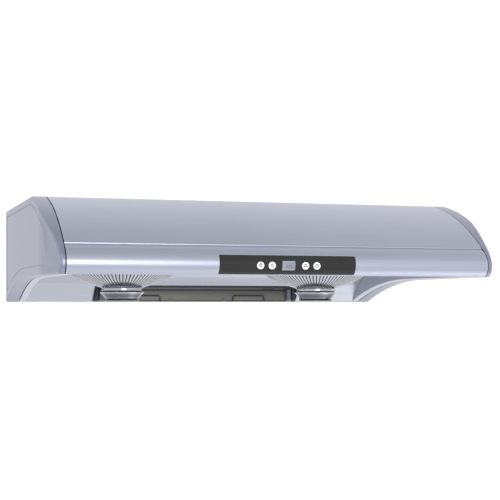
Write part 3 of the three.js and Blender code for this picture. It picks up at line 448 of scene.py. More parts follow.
def make_finishes():
    """One material for each slot of the record, and the few that only the visual pieces use."""
    c = finishes()
    FINISH_OF_SLOT.update(
        brushed_steel=brushed("brushed_steel", c.steel, c.steel_roughness, "x"),
        # side_steel: the brushed steel with its own brightness, set as painted light under the hood.
        side_steel=brushed("side_steel", c.liner, 0.34, "y", 0.9, 0.8),
        cap_paint=satin_paint("cap_paint", c.cap, 0.36, 0.75),
        galvanised=zinc("galvanised", c.zinc),
        polished_steel=polished("polished_steel", c.polished, 0.16),
        grille_steel=grille_steel("grille_steel", c.polished, 0.2),
        cup_steel=painted_light_banded("cup_steel", c.cup, 0.08, CUP_PAINTED_LIGHT),
        ring_steel=painted_light_banded("ring_steel", c.cup, 0.12, RING_PAINTED_LIGHT),
        # cove_steel: the brushed steel with its own brightness, set as painted light for the cove.
        cove_steel=brushed("cove_steel", c.cove, c.steel_roughness, "x"),
        glossy_trim=moulded("glossy_trim", (0.10, 0.112, 0.135), 0.16, 300, 0.05, 0.5),
        black_gloss=moulded("black_gloss", c.panel, 0.35, 400, 0.04, 0.0, 0.1),
        white_plastic=moulded("white_plastic", c.button, 0.35, 500, 0.04, 0.2),
        icon_paint=moulded("icon_paint", c.icon, 0.5, 500, 0.04),
        display_glass=glass_window("display_glass", c.display),
        dark_plastic=moulded("dark_plastic", c.dark, 0.5, 350, 0.15),
        tray_paint=satin_paint("tray_paint", c.tray, 0.42, 0.25),
        circuit_board=circuit("circuit_board", c.board),
        aluminium=cast_metal("aluminium", (0.60, 0.61, 0.63)),
        frosted_lens=frosted("frosted_lens", (0.88, 0.87, 0.82)),
    )


# ------------------------------------------------------------------ mesh helpers


def bend(start, corner, end, steps):
    """Points of a quadratic curve that leaves and arrives along its corner."""
    ways = [i / steps for i in range(steps + 1)]
    return [tuple((1 - t) ** 2 * a + 2 * t * (1 - t) * b + t * t * c for a, b, c in zip(start, corner, end))
            for t in ways]


def rounded(points, radius, steps=6):
    """An open line with each inner corner rounded."""
    made = [tuple(points[0])]
    for before, corner, after in zip(points, points[1:], points[2:]):
        a, c, b = Vector(before), Vector(corner), Vector(after)
        reach = min(radius, (a - c).length * 0.45, (b - c).length * 0.45)
        made += bend(c + (a - c).normalized() * reach, c, c + (b - c).normalized() * reach, steps)
    return made + [tuple(points[-1])]


def offset(points, distance):
    """An open line moved sideways to its left, mitred at its corners."""
    made = []
    for i, point in enumerate(points):
        before, after = Vector(points[max(i - 1, 0)]), Vector(points[min(i + 1, len(points) - 1)])
        here = Vector(point)
        ends = [(a, b) for a, b in ((before, here), (here, after)) if (b - a).length > 1e-9]
        normals = [Vector((a.y - b.y, b.x - a.x)).normalized() for a, b in ends]
        total = normals[0] + normals[-1]
        made.append(tuple(here + total * (distance / (1 + normals[0].dot(normals[-1])))))
    return made


def verts_of(geometry):
    return [g for g in geometry if isinstance(g, bmesh.types.BMVert)]


def line_in(bm, points):
    """Edges through a list of points; returns them."""
    verts = [bm.verts.new(p) for p in points]
    return [bm.edges.new(pair) for pair in zip(verts, verts[1:])]


def drawn(line, x0, x1):
    """A (Y, Z) line drawn out along X into an open sheet."""
    bm = bmesh.new()
    made = bmesh.ops.extrude_edge_only(bm, edges=line_in(bm, [(x0, y, z) for y, z in line]))["geom"]
    bmesh.ops.translate(bm, vec=X * (x1 - x0), verts=verts_of(made))
    return bm


def slab(outline, direction):
    """A closed outline of 3D points drawn out along a vector into a solid."""
    bm = bmesh.new()
    face = bm.faces.new([bm.verts.new(p) for p in outline])
    made = bmesh.ops.extrude_face_region(bm, geom=[face])["geom"]
    bmesh.ops.translate(bm, vec=direction, verts=verts_of(made))
    return tidy(bm)


def block(lower, upper, edge=0.0, segments=3):
    """A block between two corners, its edges rounded."""
    bm = bmesh.new()
    size = Vector(upper) - Vector(lower)
    where = Matrix.Translation((Vector(upper) + Vector(lower)) / 2) @ Matrix.Diagonal((*size, 1))
    bmesh.ops.create_cube(bm, size=1, matrix=where)
    if edge:
        bmesh.ops.bevel(bm, geom=list(bm.edges), offset=edge, segments=segments, profile=0.5, affect="EDGES",
                        material=-1, clamp_overlap=True)
    return bm


def turned(profile, centre, axis=Z, steps=64):
    """A closed or axis-to-axis (radius, height) profile spun about an axis."""
    bm = bmesh.new()
    across = X if abs(axis.x) < 0.5 else Y
    points = [Vector(centre) + across * r + axis * h for r, h in profile]
    on_axis = abs(profile[0][0]) < 1e-9 and abs(profile[-1][0]) < 1e-9
    edges = line_in(bm, points if on_axis else points + points[:1])
    bmesh.ops.remove_doubles(bm, verts=bm.verts, dist=1e-7)
    bmesh.ops.spin(bm, geom=list(bm.verts) + list(bm.edges), cent=centre, axis=axis, dvec=(0, 0, 0),
                   angle=math.tau, steps=steps, use_merge=True, use_duplicate=False)
    return tidy(bm)


def tidy(bm):
    """Merges doubles, drops slivers and turns the faces outwards."""
    bmesh.ops.remove_doubles(bm, verts=bm.verts, dist=1e-6)
    bmesh.ops.dissolve_degenerate(bm, edges=bm.edges, dist=1e-7)
    bmesh.ops.recalc_face_normals(bm, faces=bm.faces)
    if bm.calc_volume(signed=True) < 0:
        bmesh.ops.reverse_faces(bm, faces=bm.faces)
    return bm


def thicken(bm, thickness):
    """Gives an open sheet its wall, away from the side its faces look at."""
    bmesh.ops.remove_doubles(bm, verts=bm.verts, dist=1e-6)
    bmesh.ops.solidify(bm, geom=list(bm.faces), thickness=thickness)
    return tidy(bm)


def faced(bm, direction):
    """Turns an open sheet so that its middle face looks along a direction."""
    bmesh.ops.recalc_face_normals(bm, faces=bm.faces)
    bm.normal_update()
    total = sum((f.normal * f.calc_area() for f in bm.faces), Vector())
    if total.dot(Vector(direction)) < 0:
        bmesh.ops.reverse_faces(bm, faces=bm.faces)
    return bm


def soften_along(bm, axis, width, segments=5):
    """Rounds the edges of a block that run along one axis."""
    edges = [e for e in bm.edges if abs((e.verts[1].co - e.verts[0].co).normalized().dot(axis)) > 0.99]
    bmesh.ops.bevel(bm, geom=edges, offset=width, segments=segments, profile=0.5, affect="EDGES", material=-1)


def joined(*parts):
    """Several meshes in one."""
    whole = bmesh.new()
    for part in parts:
        mesh = bpy.data.meshes.new("part")
        part.to_mesh(mesh)
        part.free()
        whole.from_mesh(mesh)
        bpy.data.meshes.remove(mesh)
    return whole


def carved(body, *tools, operation="DIFFERENCE"):
    """A mesh with other meshes cut out of it, or joined to it."""
    made = [linked("carve", to_mesh(part, "carve")) for part in (body, *tools)]
    for tool in made[1:]:
        cut = made[0].modifiers.new("cut", "BOOLEAN")
        cut.operation, cut.object, cut.solver = operation, tool, "EXACT"
    bpy.context.view_layer.update()
    result = bpy.data.meshes.new_from_object(made[0].evaluated_get(bpy.context.evaluated_depsgraph_get()))
    whole = bmesh.new()
    whole.from_mesh(result)
    bpy.data.meshes.remove(result)
    for thing in made:
        mesh = thing.data
        bpy.data.objects.remove(thing)
        bpy.data.meshes.remove(mesh)
    bmesh.ops.remove_doubles(whole, verts=whole.verts, dist=1e-7)
    if not whole.faces:
        raise RuntimeError("nothing is left of a carved mesh")
    return whole


def to_mesh(bm, name):
    mesh = bpy.data.meshes.new(name)
    bm.to_mesh(mesh)
    bm.free()
    return mesh


def sided(make, sx):
    """A shape made for the left, mirrored in the hood's middle plane for the right."""
    bm = make()
    if sx > 0:
        bmesh.ops.scale(bm, vec=(-1, 1, 1), verts=bm.verts)
        bmesh.ops.reverse_faces(bm, faces=bm.faces)
    return bm


def turned_to(bm, degrees, axis, place):
    """A shape made round the origin, turned about an axis and moved to its place."""
    turn = Matrix.Rotation(math.radians(degrees), 3, axis)
    bmesh.ops.rotate(bm, cent=(0, 0, 0), matrix=turn, verts=bm.verts)
    bmesh.ops.translate(bm, vec=place, verts=bm.verts)
    return bm


def strip_between(bm, rows, closed):
    """Faces between each row of vertices and the next; a closed row joins its last vertex to its first."""
    for one, two in zip(rows, rows[1:]):
        n = len(one)
        for k in range(n if closed else n - 1):
            bm.faces.new((one[k], one[(k + 1) % n], two[(k + 1) % n], two[k]))


def linked(name, data):
    """An object of the scene around its data."""
    made = bpy.data.objects.new(name, data)
    bpy.context.collection.objects.link(made)
    return made


def piece(name, bm, body, slot, finish=None, replaces=(), crease=30):
    """A finished piece: shaded smooth up to a crease angle, with its material, riding on a body."""
    made = linked(name, to_mesh(bm, name))
    made.data.shade_smooth()
    made.data.set_sharp_from_angle(angle=math.radians(crease))
    made.data.materials.append(FINISH_OF_SLOT[finish or slot])
    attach(made, body)
    if replaces:
        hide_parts(*replaces)
    return made


def clad(node, slot):
    """Gives a carried-over node its finish."""
    mesh = frame["nodes"][node].data
    mesh.materials.clear()
    mesh.materials.append(FINISH_OF_SLOT[slot])


def rod(radius, start, end, steps=32, edge=0.2 * MM):
    """A round rod between two points, its rims rounded."""
    start, end = Vector(start), Vector(end)
    run = (end - start).length
    rim = min(edge, radius / 2, run / 2.5)
    profile = [(0, 0), (radius - rim, 0), (radius, rim), (radius, run - rim), (radius - rim, run), (0, run)]
    return turned(profile, start, (end - start).normalized(), steps)


def tube(path, radius, normal, sides=16):
    """A round wire along a flat path, closed at both ends."""
    bm = bmesh.new()
    path = [Vector(p) for p in path]
    turn = [(math.cos(math.tau * k / sides), math.sin(math.tau * k / sides)) for k in range(sides)]
    rings = []
    for i, point in enumerate(path):
        across = (path[min(i + 1, len(path) - 1)] - path[max(i - 1, 0)]).normalized().cross(normal)
        rings.append([bm.verts.new(point + (across * u + normal * w) * radius) for u, w in turn])
    strip_between(bm, rings, True)
    bm.faces.new(rings[0])
    bm.faces.new(rings[-1])
    return tidy(bm)


def repeated(bm, centre, axis, number):
    """The same shape set out evenly round an axis."""
    geometry = list(bm.verts) + list(bm.edges) + list(bm.faces)
    bmesh.ops.spin(bm, geom=geometry, cent=centre, axis=axis, dvec=(0, 0, 0),
                   angle=math.tau * (number - 1) / number, steps=number - 1, use_duplicate=True)
    return bm


def mm(*values):
    return tuple(v * MM for v in values)


def profile(*points):
    return [mm(*p) for p in points]


# ------------------------------------------------------------------ outlines of the hood

side = -low("end_cap_left").x
seam = -high("end_cap_left").x
back = high("back_panel").y
nose = low("end_cap_left").y
top = high("top_panel").z
body_half = high("top_panel").x
canopy_start = low("top_panel").y
ridge = low("canopy_panel").y
lip_height = low("front_fascia").z
ceiling = low("ceiling_panel").z
under_half = high("rear_cove").x
rail_front = low("front_rail").y
cove_start = high("ceiling_panel").y
fan_left = Vector((middle("grille_ring_left").x, middle("grille_ring_left").y, 0))


def canopy_line(steps=48):
    s = shape()
    start, end = (canopy_start, top), (ridge, s.ridge_height)
    a, b = math.tan(s.canopy_start_angle), math.tan(s.canopy_end_angle)
    run, drop = start[0] - end[0], start[1] - end[1]
    reach = (run * b - drop) / (b - a)
    return bend(start, (start[0] - reach, start[1] - a * reach), end, steps)


def fascia_line(steps=20):
    s = shape()
    shoulder = s.ridge_height - (ridge - nose) * math.tan(s.fascia_angle)
    upper = bend((ridge, s.ridge_height), (nose, shoulder), (nose, s.nose_height), steps)
    lip = (nose + s.lip_setback, lip_height)
    lower = bend((nose, s.nose_height), (nose, lip_height + s.lip_round), lip, steps)
    return upper + lower[1:]


def lower_edge(steps=40):
    """Side edge from the lip to the wall: level, then an arc that sweeps down."""
    s = shape()
    radius = (s.sweep_run ** 2 + lip_height ** 2) / (2 * lip_height)
    turns = [math.asin(s.sweep_run / radius) * i / steps for i in range(steps + 1)]
    return [(nose + s.lip_setback, lip_height)] + [
        (back - s.sweep_run + radius * math.sin(a), lip_height - radius * (1 - math.cos(a))) for a in turns]


def height_at(line, y):
    """Height of a line at a Y, along which Y always grows or always falls."""
    for (y0, z0), (y1, z1) in zip(line, line[1:]):
        if min(y0, y1) <= y <= max(y0, y1):
            return z0 if abs(y1 - y0) < 1e-9 else z0 + (z1 - z0) * (y - y0) / (y1 - y0)
    return line[0][1] if abs(y - line[0][0]) < abs(y - line[-1][0]) else line[-1][1]


def side_ring():
    """The side outline as matching chains: along the top to the nose, and back along the bottom."""
    s = shape()
    fascia = fascia_line()
    upper = [(back, top)] + canopy_line(32) + [p for p in fascia[1:] if p[1] >= s.nose_height]
    lower = [p for p in fascia if p[1] <= s.nose_height] + lower_edge()[1:]
    stations = sorted({round(y, 5) for y, _ in upper + lower}, reverse=True)
    kept = [y for i, y in enumerate(stations) if i == 0 or stations[i - 1] - y > 0.05 * MM]
    above = [(y, height_at(upper, y)) for y in kept[:-1]]
    below = [(y, height_at(lower, y)) for y in kept[:-1]]
    return above, below, (nose, s.nose_height)


def inset(ring, amount):
    """A closed ring moved inwards, by an amount that may depend on the point."""
    made = []
    for i, point in enumerate(ring):
        here, before, after = Vector(point), Vector(ring[i - 1]), Vector(ring[(i + 1) % len(ring)])
        one, two = (here - before).normalized(), (after - here).normalized()
        n, m = Vector((-one.y, one.x)), Vector((-two.y, two.x))
        made.append(tuple(here + (n + m) * (amount(point) / max(1 + n.dot(m), 0.3))))
    return made


# ------------------------------------------------------------------ outer body


def cap_taper(y):
    """How far an end cap's outer face has come in at a Y."""
    s = shape()
    past_taper, blend = 12 * MM, 40 * MM
    start = nose + s.cap_taper_run + past_taper
    slope = s.cap_taper / (start - nose - blend / 2)
    run = start - y
    if run <= 0:
        return 0
    return slope * run * run / (2 * blend) if run < blend else slope * (run - blend / 2)


def end_cap():
    """Left end cap: a moulded shell with a rounded edge and a shallow pressed field."""
    s = shape()
    above, below, tip = side_ring()
    ring = above + [tip] + below[::-1]
    wall, rim, narrow = 1.6 * MM, 0.4 * MM, 3.2 * MM

    def ease(y, start, run):
        t = min(max((y - nose - start) / run, 0), 1)
        return t * t * (3 - 2 * t)

    def border(point, extra=0):
        """Width of the border round the pressed field, narrow at the nose and wider at the wall."""
        y, z = point
        wide = (12 if z > lip_height + 30 * MM else 14) * MM
        wall_end = min(max((back - y) / (25 * MM), 0), 1)
        return narrow + (wide - narrow) * ease(y, 10 * MM, 70 * MM) + extra * (1 + 2.5 * (1 - wall_end))

    def face(point, depth=0.0):
        return -side + cap_taper(point[0]) + depth

    inner = inset(ring, lambda p: wall)
    rings = [
        [(face(p, wall), q) for p, q in zip(ring, inner)],
        [(-seam, q) for q in inner],
        [(-seam, q) for q in inset(ring, lambda p: rim)],
        [(-seam - rim, q) for q in ring],
    ]
    for a in (math.radians(15 * k) for k in range(7)):
        edge = inset(ring, lambda p: s.cap_round * (1 - math.cos(a)))
        rings.append([(face(p, s.cap_round * (1 - math.sin(a))), q) for p, q in zip(ring, edge)])
    groove = ((0, 0), (0.2, 0.75), (1.9, 0.75), (2.3, 0.2))
    for extra, depth in groove:
        limit = [back - border((back, z), extra * MM) for _, z in ring]
        edge = inset(ring, lambda p: border(p, extra * MM))
        edge = [(min(y, most), z) for (y, z), most in zip(edge, limit)]
        rings.append([(face(q, s.cap_recess * depth * ease(q[0], 45 * MM, 90 * MM)), q) for q in edge])
    bm = bmesh.new()
    verts = [[bm.verts.new((x, *q)) for x, q in points] for points in rings]
    strip_between(bm, verts, True)
    for loop in (verts[0], verts[-1]):
        n = len(above)
        for k in range(n - 1):
            bm.faces.new((loop[k], loop[k + 1], loop[-2 - k], loop[-1 - k]))
        bm.faces.new(loop[n - 1:n + 2])
    return tidy(bm)


def canopy():
    """Curved canopy with a rounded fold at the crease and a flange under the flat top."""
    s = shape()
    line = canopy_line()
    corner = Vector(line[-1])
    tail = (corner - Vector(line[-2])).normalized()
    tongue = Vector((7 * MM, 0.6 * MM - s.hem))
    fold = rounded([corner - tail * 3 * MM, corner, corner - Vector((0, s.hem)), corner + tongue], 0.4 * MM)
    flange = ((16, 2.7), (1.5, 2.7), (-0.4, 0.2))
    start = [(canopy_start + y * MM, top - drop * MM) for y, drop in flange]
    cut = [p for p in line[1:] if p[0] > corner.x + 3.4 * MM]
    bm = drawn(rounded(start, 1 * MM) + cut + fold, s.seam_trim - body_half, body_half - s.seam_trim)
    faced(bm, (0, -0.3, 1))
    return thicken(bm, s.sheet)


def fascia():
    """Fascia round the nose, tucked under the canopy, with a flange at the lip and the control window."""
    s = shape()
    line = fascia_line()
    start = Vector((ridge, s.ridge_height))
    first = start + Vector((0, -s.hem - 0.05 * MM))
    tongue, shoulder = Vector(mm(9, 0.8)), Vector(mm(-1.4, -0.9))
    tucked = [tuple(first + tongue)] + bend(first, first + shoulder, line[5], 6)
    lip = line[-1]
    foot = rounded([lip, (lip[0] + 8 * MM, lip[1]), (lip[0] + 8 * MM, lip[1] + 3 * MM)], 1.2 * MM)
    bm = drawn(tucked + line[6:] + foot[1:], s.seam_trim - body_half, body_half - s.seam_trim)
    faced(bm, (0, -1, 0.2))
    thicken(bm, s.sheet)
    low_panel, high_panel = low("control_panel"), high("control_panel")
    pad = Vector((s.gap, 0, s.gap))
    window = block(low_panel - pad - Y * 5 * MM, high_panel + pad - Y * 0.1 * MM)
    soften_along(window, Y, s.panel_corner)
    return carved(bm, window)


def top_panel():
    """Flat top with the duct outlet, the cable hole and the screw holes."""
    lower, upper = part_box("top_panel")
    plate = block(lower, upper)
    duct, cable = middle("duct_collar"), middle("cable_bushing")
    x, rows = body_half - 40 * MM, (back - 60 * MM, canopy_start + 69.7 * MM)
    holes = [(78.5, 0, duct.y, 96), (11, cable.x, cable.y, 48)]
    holes += [(3.5, sx * x, y, 32) for _, sx in SIDES for y in rows]
    return carved(plate, *(rod(radius * MM, (x, y, lower.z - MM), (x, y, upper.z + MM), steps)
                           for radius, x, y, steps in holes))


def back_panel():
    """Back panel with keyhole slots for the wall screws."""
    lower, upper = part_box("back_panel")
    head, neck, rise, z = 5 * MM, 2.5 * MM, 13 * MM, 120 * MM
    holes = []
    for _, sx in SIDES:
        x = sx * (abs(fan_left.x) + 60 * MM)
        slot = block((x - neck, lower.y - MM, z), (x + neck, upper.y + MM, z + rise))
        soften_along(slot, Y, 2 * MM)
        holes += [rod(head, (x, lower.y - MM, z), (x, upper.y + MM, z), 48), slot]
    return carved(block(lower, upper), *holes)


# ------------------------------------------------------------------ controls


def nose_strip(lower, upper, start, depth):
    """A strip of the nose between two heights, lying between two depths under its surface."""
    whole = offset(fascia_line(32), start)
    line = [p for p in whole if lower.z < p[1] < upper.z]
    ends = [(y_at(whole, upper.z), upper.z), (y_at(whole, lower.z), lower.z)]
    bm = drawn([ends[0], *line, ends[1]], lower.x, upper.x)
    faced(bm, (0, -1, 0))
    return thicken(bm, depth)


def y_at(line, z):
    """Y of a falling line at a height."""
    for (y0, z0), (y1, z1) in zip(line, line[1:]):
        if z1 <= z <= z0:
            return y0 + (y1 - y0) * (z0 - z) / max(z0 - z1, 1e-9)
    return line[-1][0]


def control_panel():
    """Glossy strip with rounded corners and holes for the buttons and the display."""
    s = shape()
    lower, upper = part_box("control_panel")
    strip = nose_strip(lower, upper, 0, 2.4 * MM)
    frame_block = block(lower - Y * 5 * MM, upper + Y * 5 * MM)
    soften_along(frame_block, Y, s.panel_corner)
    strip = carved(strip, frame_block, operation="INTERSECT")
    front, rear = nose - 5 * MM, nose + 9 * MM
    holes = []
    for node in BUTTONS:
        x, _, z = middle(node)
        holes.append(rod(high(node).x - x + s.gap, (x, front, z), (x, rear, z), 64))
    pad = Vector((s.gap, 8 * MM, s.gap))
    window = block(low("display_window") - pad, high("display_window") + pad)
    return carved(strip, *holes, window)


BUTTONS = ("button_power", "button_light", "button_fan_speed", "button_timer")
SEGMENTS = {"1": "bc", "8": "abcdefg", "0": "abcdef"}


def push_button(node):
    """Round button with a softly dished face and its stem."""
    lower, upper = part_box(node)
    centre = (middle(node).x, lower.y, middle(node).z)
    r, run = upper.x - middle(node).x, upper.y - lower.y
    stem, skirt = 2 * MM, 4 * MM
    outline = [(0, 0.25 * MM), (r * 0.6, 0.14 * MM), (r * 0.86, 0.02 * MM), (r - 0.35 * MM, 0),
               (r - 0.1 * MM, 0.1 * MM), (r, 0.4 * MM), (r, skirt), (stem, skirt), (stem, run), (0, run)]
    return turned(outline, centre, Y, 64)


def icon(node):
    """Generic mark on a button's face."""
    centre = Vector((middle(node).x, low(node).y + 0.02 * MM, middle(node).z))
    deep = 0.4

    def ring(radius, width, at=Vector()):
        r0, r1 = radius - width / 2, radius + width / 2
        return turned(profile((r0, 0), (r1, 0), (r1, deep), (r0, deep)), centre + at, Y, 32)

    def bar(x, z, wide, tall, turn=0):
        made = block(mm(x - wide / 2, 0, z - tall / 2), mm(x + wide / 2, deep, z + tall / 2))
        return turned_to(made, turn, "Y", centre)

    if node == "button_power":
        return joined(ring(2.6, 1.2), bar(0, 2.2, 1.3, 2.8))
    if node == "button_light":
        return joined(ring(1.7, 1.0), *(bar(0, 3.5, 1.0, 1.2, 60 * k) for k in range(6)))
    if node == "button_fan_speed":
        turns = [math.tau * k / 3 for k in range(3)]
        return joined(*(ring(0.72, 1.4, Vector((math.sin(a), 0, math.cos(a))) * 2.2 * MM) for a in turns))
    return joined(ring(2.7, 1.2), bar(0, 0.6, 1.2, 1.6))


def digits():
    """Faint seven-segment figures behind the display window's face."""
    centre = Vector((0, low("display_window").y - 0.02 * MM, middle("display_window").z))
    wide, tall, pen, gap, pitch = 4.0, 8.0, 0.8, 0.15, 6.4
    bars = {
        "a": (0, tall / 2, wide, pen), "g": (0, 0, wide, pen), "d": (0, -tall / 2, wide, pen),
        "b": (wide / 2, tall / 4, pen, tall / 2), "c": (wide / 2, -tall / 4, pen, tall / 2),
        "f": (-wide / 2, tall / 4, pen, tall / 2), "e": (-wide / 2, -tall / 4, pen, tall / 2),
    }
    made = []
    for x, figure in zip((-pitch, 0, pitch), SEGMENTS):
        for u, w, across, up in (bars[name] for name in SEGMENTS[figure]):
            half = Vector(mm(across / 2 - gap, 0, up / 2 - gap))
            at = centre + Vector(mm(x + u, 0, w))
            made.append(block(at - half, at + half + Y * 0.15 * MM))
    return joined(*made)


# ------------------------------------------------------------------ underside


def cove_line():
    wall = low("back_panel").y - 0.3 * MM
    return [(cove_start + 0.3 * MM, ceiling), (back - 63 * MM, 49 * MM), (back - 38 * MM, 36 * MM),
            (wall - 2.4 * MM, 1.2 * MM)]


def rear_cove():
    """Cove between the ceiling and the wall, with rounded folds, cut out for the recess."""
    s = shape()
    lap = ceiling + 1.5 * MM
    line = rounded([(cove_start - 11.7 * MM, lap), (cove_start + 0.3 * MM, lap), *cove_line()[1:]], s.fold, 8)
    bm = drawn(line, -under_half, under_half)
    faced(bm, (0, -1, -1))
    thicken(bm, s.sheet)
    lower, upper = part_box("recess_frame")
    cut = block(Vector((lower.x - s.gap, cove_start, -MM)), Vector((upper.x + s.gap, back, upper.z + s.gap)))
    soften_along(cut, Y, 5 * MM)
    return carved(bm, cut)


def side_liner():
    """Left wall of the underside, rolled out along the lower edge to the end cap."""
    s = shape()
    wall = back - 5 * MM
    stations = [rail_front] + [y for y, _ in lower_edge() if rail_front + MM < y < wall] + [wall]
    edge, cove = lower_edge(), cove_line()
    bm = bmesh.new()
    rows = []
    outer, inner = -body_half + 0.7 * MM, -under_half - 0.3 * MM
    turn_up, least, bend_radius = 2.4 * MM, 6 * MM, 2.2 * MM
    for y in stations:
        e = height_at(edge, y)
        roof = max(ceiling + s.sheet if y < cove_start else height_at(cove, y), e + least)
        line = rounded([(outer, e + turn_up), (outer, e), (inner, e), (inner, roof)], bend_radius, 5)
        rows.append([bm.verts.new((x, y, z)) for x, z in line])
    strip_between(bm, rows, False)
    faced(bm, (1, 0, -1))
    return thicken(bm, 1.1 * MM)


def recess_frame():
    """Dark liner of the recess: roof, front lip and closed ends."""
    lower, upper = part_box("recess_frame")
    sheet, lip, edge = 1.2 * MM, 4.4 * MM, 0.3 * MM
    roof = upper.z - sheet
    parts = [
        block((lower.x, lower.y, roof), upper, edge),
        block((lower.x, lower.y, upper.z - lip), (upper.x, lower.y + sheet, upper.z - sheet / 2), edge),
    ]
    plate = low("rear_access_cover").y - 0.4 * MM
    for _, sx in SIDES:
        outline = ((lower.y, roof), (plate, lower.z), (upper.y, lower.z), (upper.y, roof))
        parts.append(slab([(sx * upper.x, y, z) for y, z in outline], (-sx * sheet, 0, 0)))
        x, y = sx * (upper.x - 6.5 * MM), plate - 4.8 * MM
        parts.append(rod(4.6 * MM, (x, y, lower.z), (x, y, upper.z - 3 * MM), 32, 1 * MM))
    return joined(*parts)


def recess_pillar(sx):
    """Glossy rounded pillar beside a closed end of the recess."""
    lower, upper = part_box("recess_frame")
    x, y = sx * (upper.x - 17 * MM), low("rear_access_cover").y - 5.6 * MM
    return rod(5.2 * MM, (x, y, lower.z), (x, y, upper.z - 5 * MM), 32, 2 * MM)


def cover_seal():
    """Dark seals along the top and the foot of the cover plate."""
    lower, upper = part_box("rear_access_cover")
    short, heights = 20 * MM, ((23.3, 25.4), (1.1, 2.7))
    front, rear = lower.y - 0.9 * MM, lower.y + 0.3 * MM
    return joined(*(block((lower.x + short, front, z0 * MM), (upper.x - short, rear, z1 * MM), 0.3 * MM)
                    for z0, z1 in heights))


def cover_plate():
    """Cover plate with two slots near its upper edge."""
    lower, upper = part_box("rear_access_cover")
    slots = []
    for _, sx in SIDES:
        x, half, foot, head = sx * 152 * MM, 13 * MM, upper.z - 5.4 * MM, upper.z - 2.9 * MM
        slot = block((x - half, lower.y - 2 * MM, foot), (x + half, lower.y + 3 * MM, head))
        soften_along(slot, Y, 1.1 * MM)
        slots.append(slot)
    return carved(block(lower, upper, 1.2 * MM, 4), *slots)


def cover_step():
    """Raised field of the cover plate."""
    lower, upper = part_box("rear_access_cover")
    upper.y = lower.y
    return block(lower + Vector(mm(5, -0.8, 3)), upper + Vector(mm(-5, 1, -8)), 0.6 * MM)


def cover_handle(node):
    """Bent wire handle."""
    lower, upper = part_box(node)
    r, y = 1.5 * MM, (lower.y + upper.y) / 2
    x0, x1, z = lower.x + r, upper.x - r, upper.z - r
    path = rounded([(x0, lower.z), (x0, z), (x1, z), (x1, lower.z)], 5 * MM, 8)
    return tube([(x, y, z) for x, z in path], r, Y)


def screw(node):
    """Pan head screw with a cross recess."""
    x, y, z = middle(node).x, low(node).y, middle(node).z
    outline = profile((0, 0), (1.6, 0.1), (2.8, 0.5), (3.5, 1.4), (3.6, 2), (1.8, 2.1), (1.8, 7.2), (0, 7.2))
    head = turned(outline, (x, y, z), Y, 40)
    cross = [block((x - a * MM, y - MM, z - b * MM), (x + a * MM, y + 1.1 * MM, z + b * MM))
             for a, b in ((0.4, 2), (2, 0.4))]
    return carved(head, *cross)


def lamp_ring():
    """Lamp can whose rim lies against the ceiling."""
    x, y = middle("lamp_housing_left").x, middle("lamp_housing_left").y
    line = profile((0, 12), (30.7, 12), (30.4, -0.6), (30.8, -1), (36.5, -1), (37.6, -0.7), (38, -0.3),
                   (33.7, -0.3), (33.7, 14), (0, 14))
    return turned(line, (x, y, ceiling), Z, 96)


def lamp_lens():
    """Shallow domed lens in the lamp's rim."""
    x, y = middle("lamp_lens_left").x, middle("lamp_lens_left").y
    line = profile((0, -1), (20, -0.95), (28, -0.7), (30.3, -0.2), (30.4, 1.5), (0, 1.5))
    return turned(line, (x, y, ceiling), Z, 96)


# ------------------------------------------------------------------ grilles, rings and cups


RIB_START, RIB_END = 39.5, 97.4


def grille_rib(foot):
    """One rib of the left grille, sagging a little between the foot and the rim."""
    s = shape()
    share, sag, steps = 0.84, 2.4, 6
    slope = (51.9 - foot - 1.2) / (97 - RIB_START)
    section = ((-1, -0.1), (-0.5, -0.4), (0.5, -0.4), (1, -0.1), (0.8, 0.35), (-0.8, 0.35))
    rib = bmesh.new()
    rows = []
    for i in range(steps + 1):
        radius = RIB_START + (RIB_END - RIB_START) * i / steps
        height = foot + 1.4 + slope * (radius - RIB_START) - sag * math.sin(math.pi * i / steps)
        half = math.pi * radius / s.louvres * share
        rows.append([rib.verts.new(Vector(mm(radius, u * half, height + w)) + fan_left) for u, w in section])
    strip_between(rib, rows, True)
    rib.faces.new(rows[0])
    rib.faces.new(rows[-1])
    return tidy(rib)


def cone_grille():
    """Left conical grille: a rim under the ceiling, a foot, fine ribs between and three bayonet hooks."""
    foot = low("cone_grille_left").z / MM
    rim = profile((108, 56.7), (107.6, 55.4), (106, 55), (102, 53.7), (97, 51.2), (95.5, 51.6), (96, 53.2),
                  (99, 55.2), (99, 56.7))
    base = profile((41, foot + 1.6), (38.3, foot + 0.2), (37.6, foot), (33, foot), (33, foot + 1.4),
                   (37, foot + 1.8), (40.4, foot + 3.4))
    ribs = repeated(grille_rib(foot), fan_left, Z, shape().louvres)
    hooks = [turned_to(block(mm(94, -3, z), mm(reach, 3, 60.2), 0.3 * MM), 25 + 120 * k, "Z", fan_left)
             for k in range(3) for reach, z in ((98, 54), (104, 58.5))]
    return joined(turned(rim, fan_left, Z, 128), turned(base, fan_left, Z, 128), ribs, *hooks)


def grille_ring():
    """Polished ring with a rolled lip and a waist."""
    line = profile((38, 25.5), (38.1, 25.1), (37.9, 24.4), (37.5, 24), (37.4, 21.6), (37.2, 20.6),
                   (36.4, 19.4), (35.8, 19.1), (34, 19.1), (33.9, 19.6), (34.4, 25.2), (34.7, 25.5))
    return turned(line, fan_left, Z, 128)


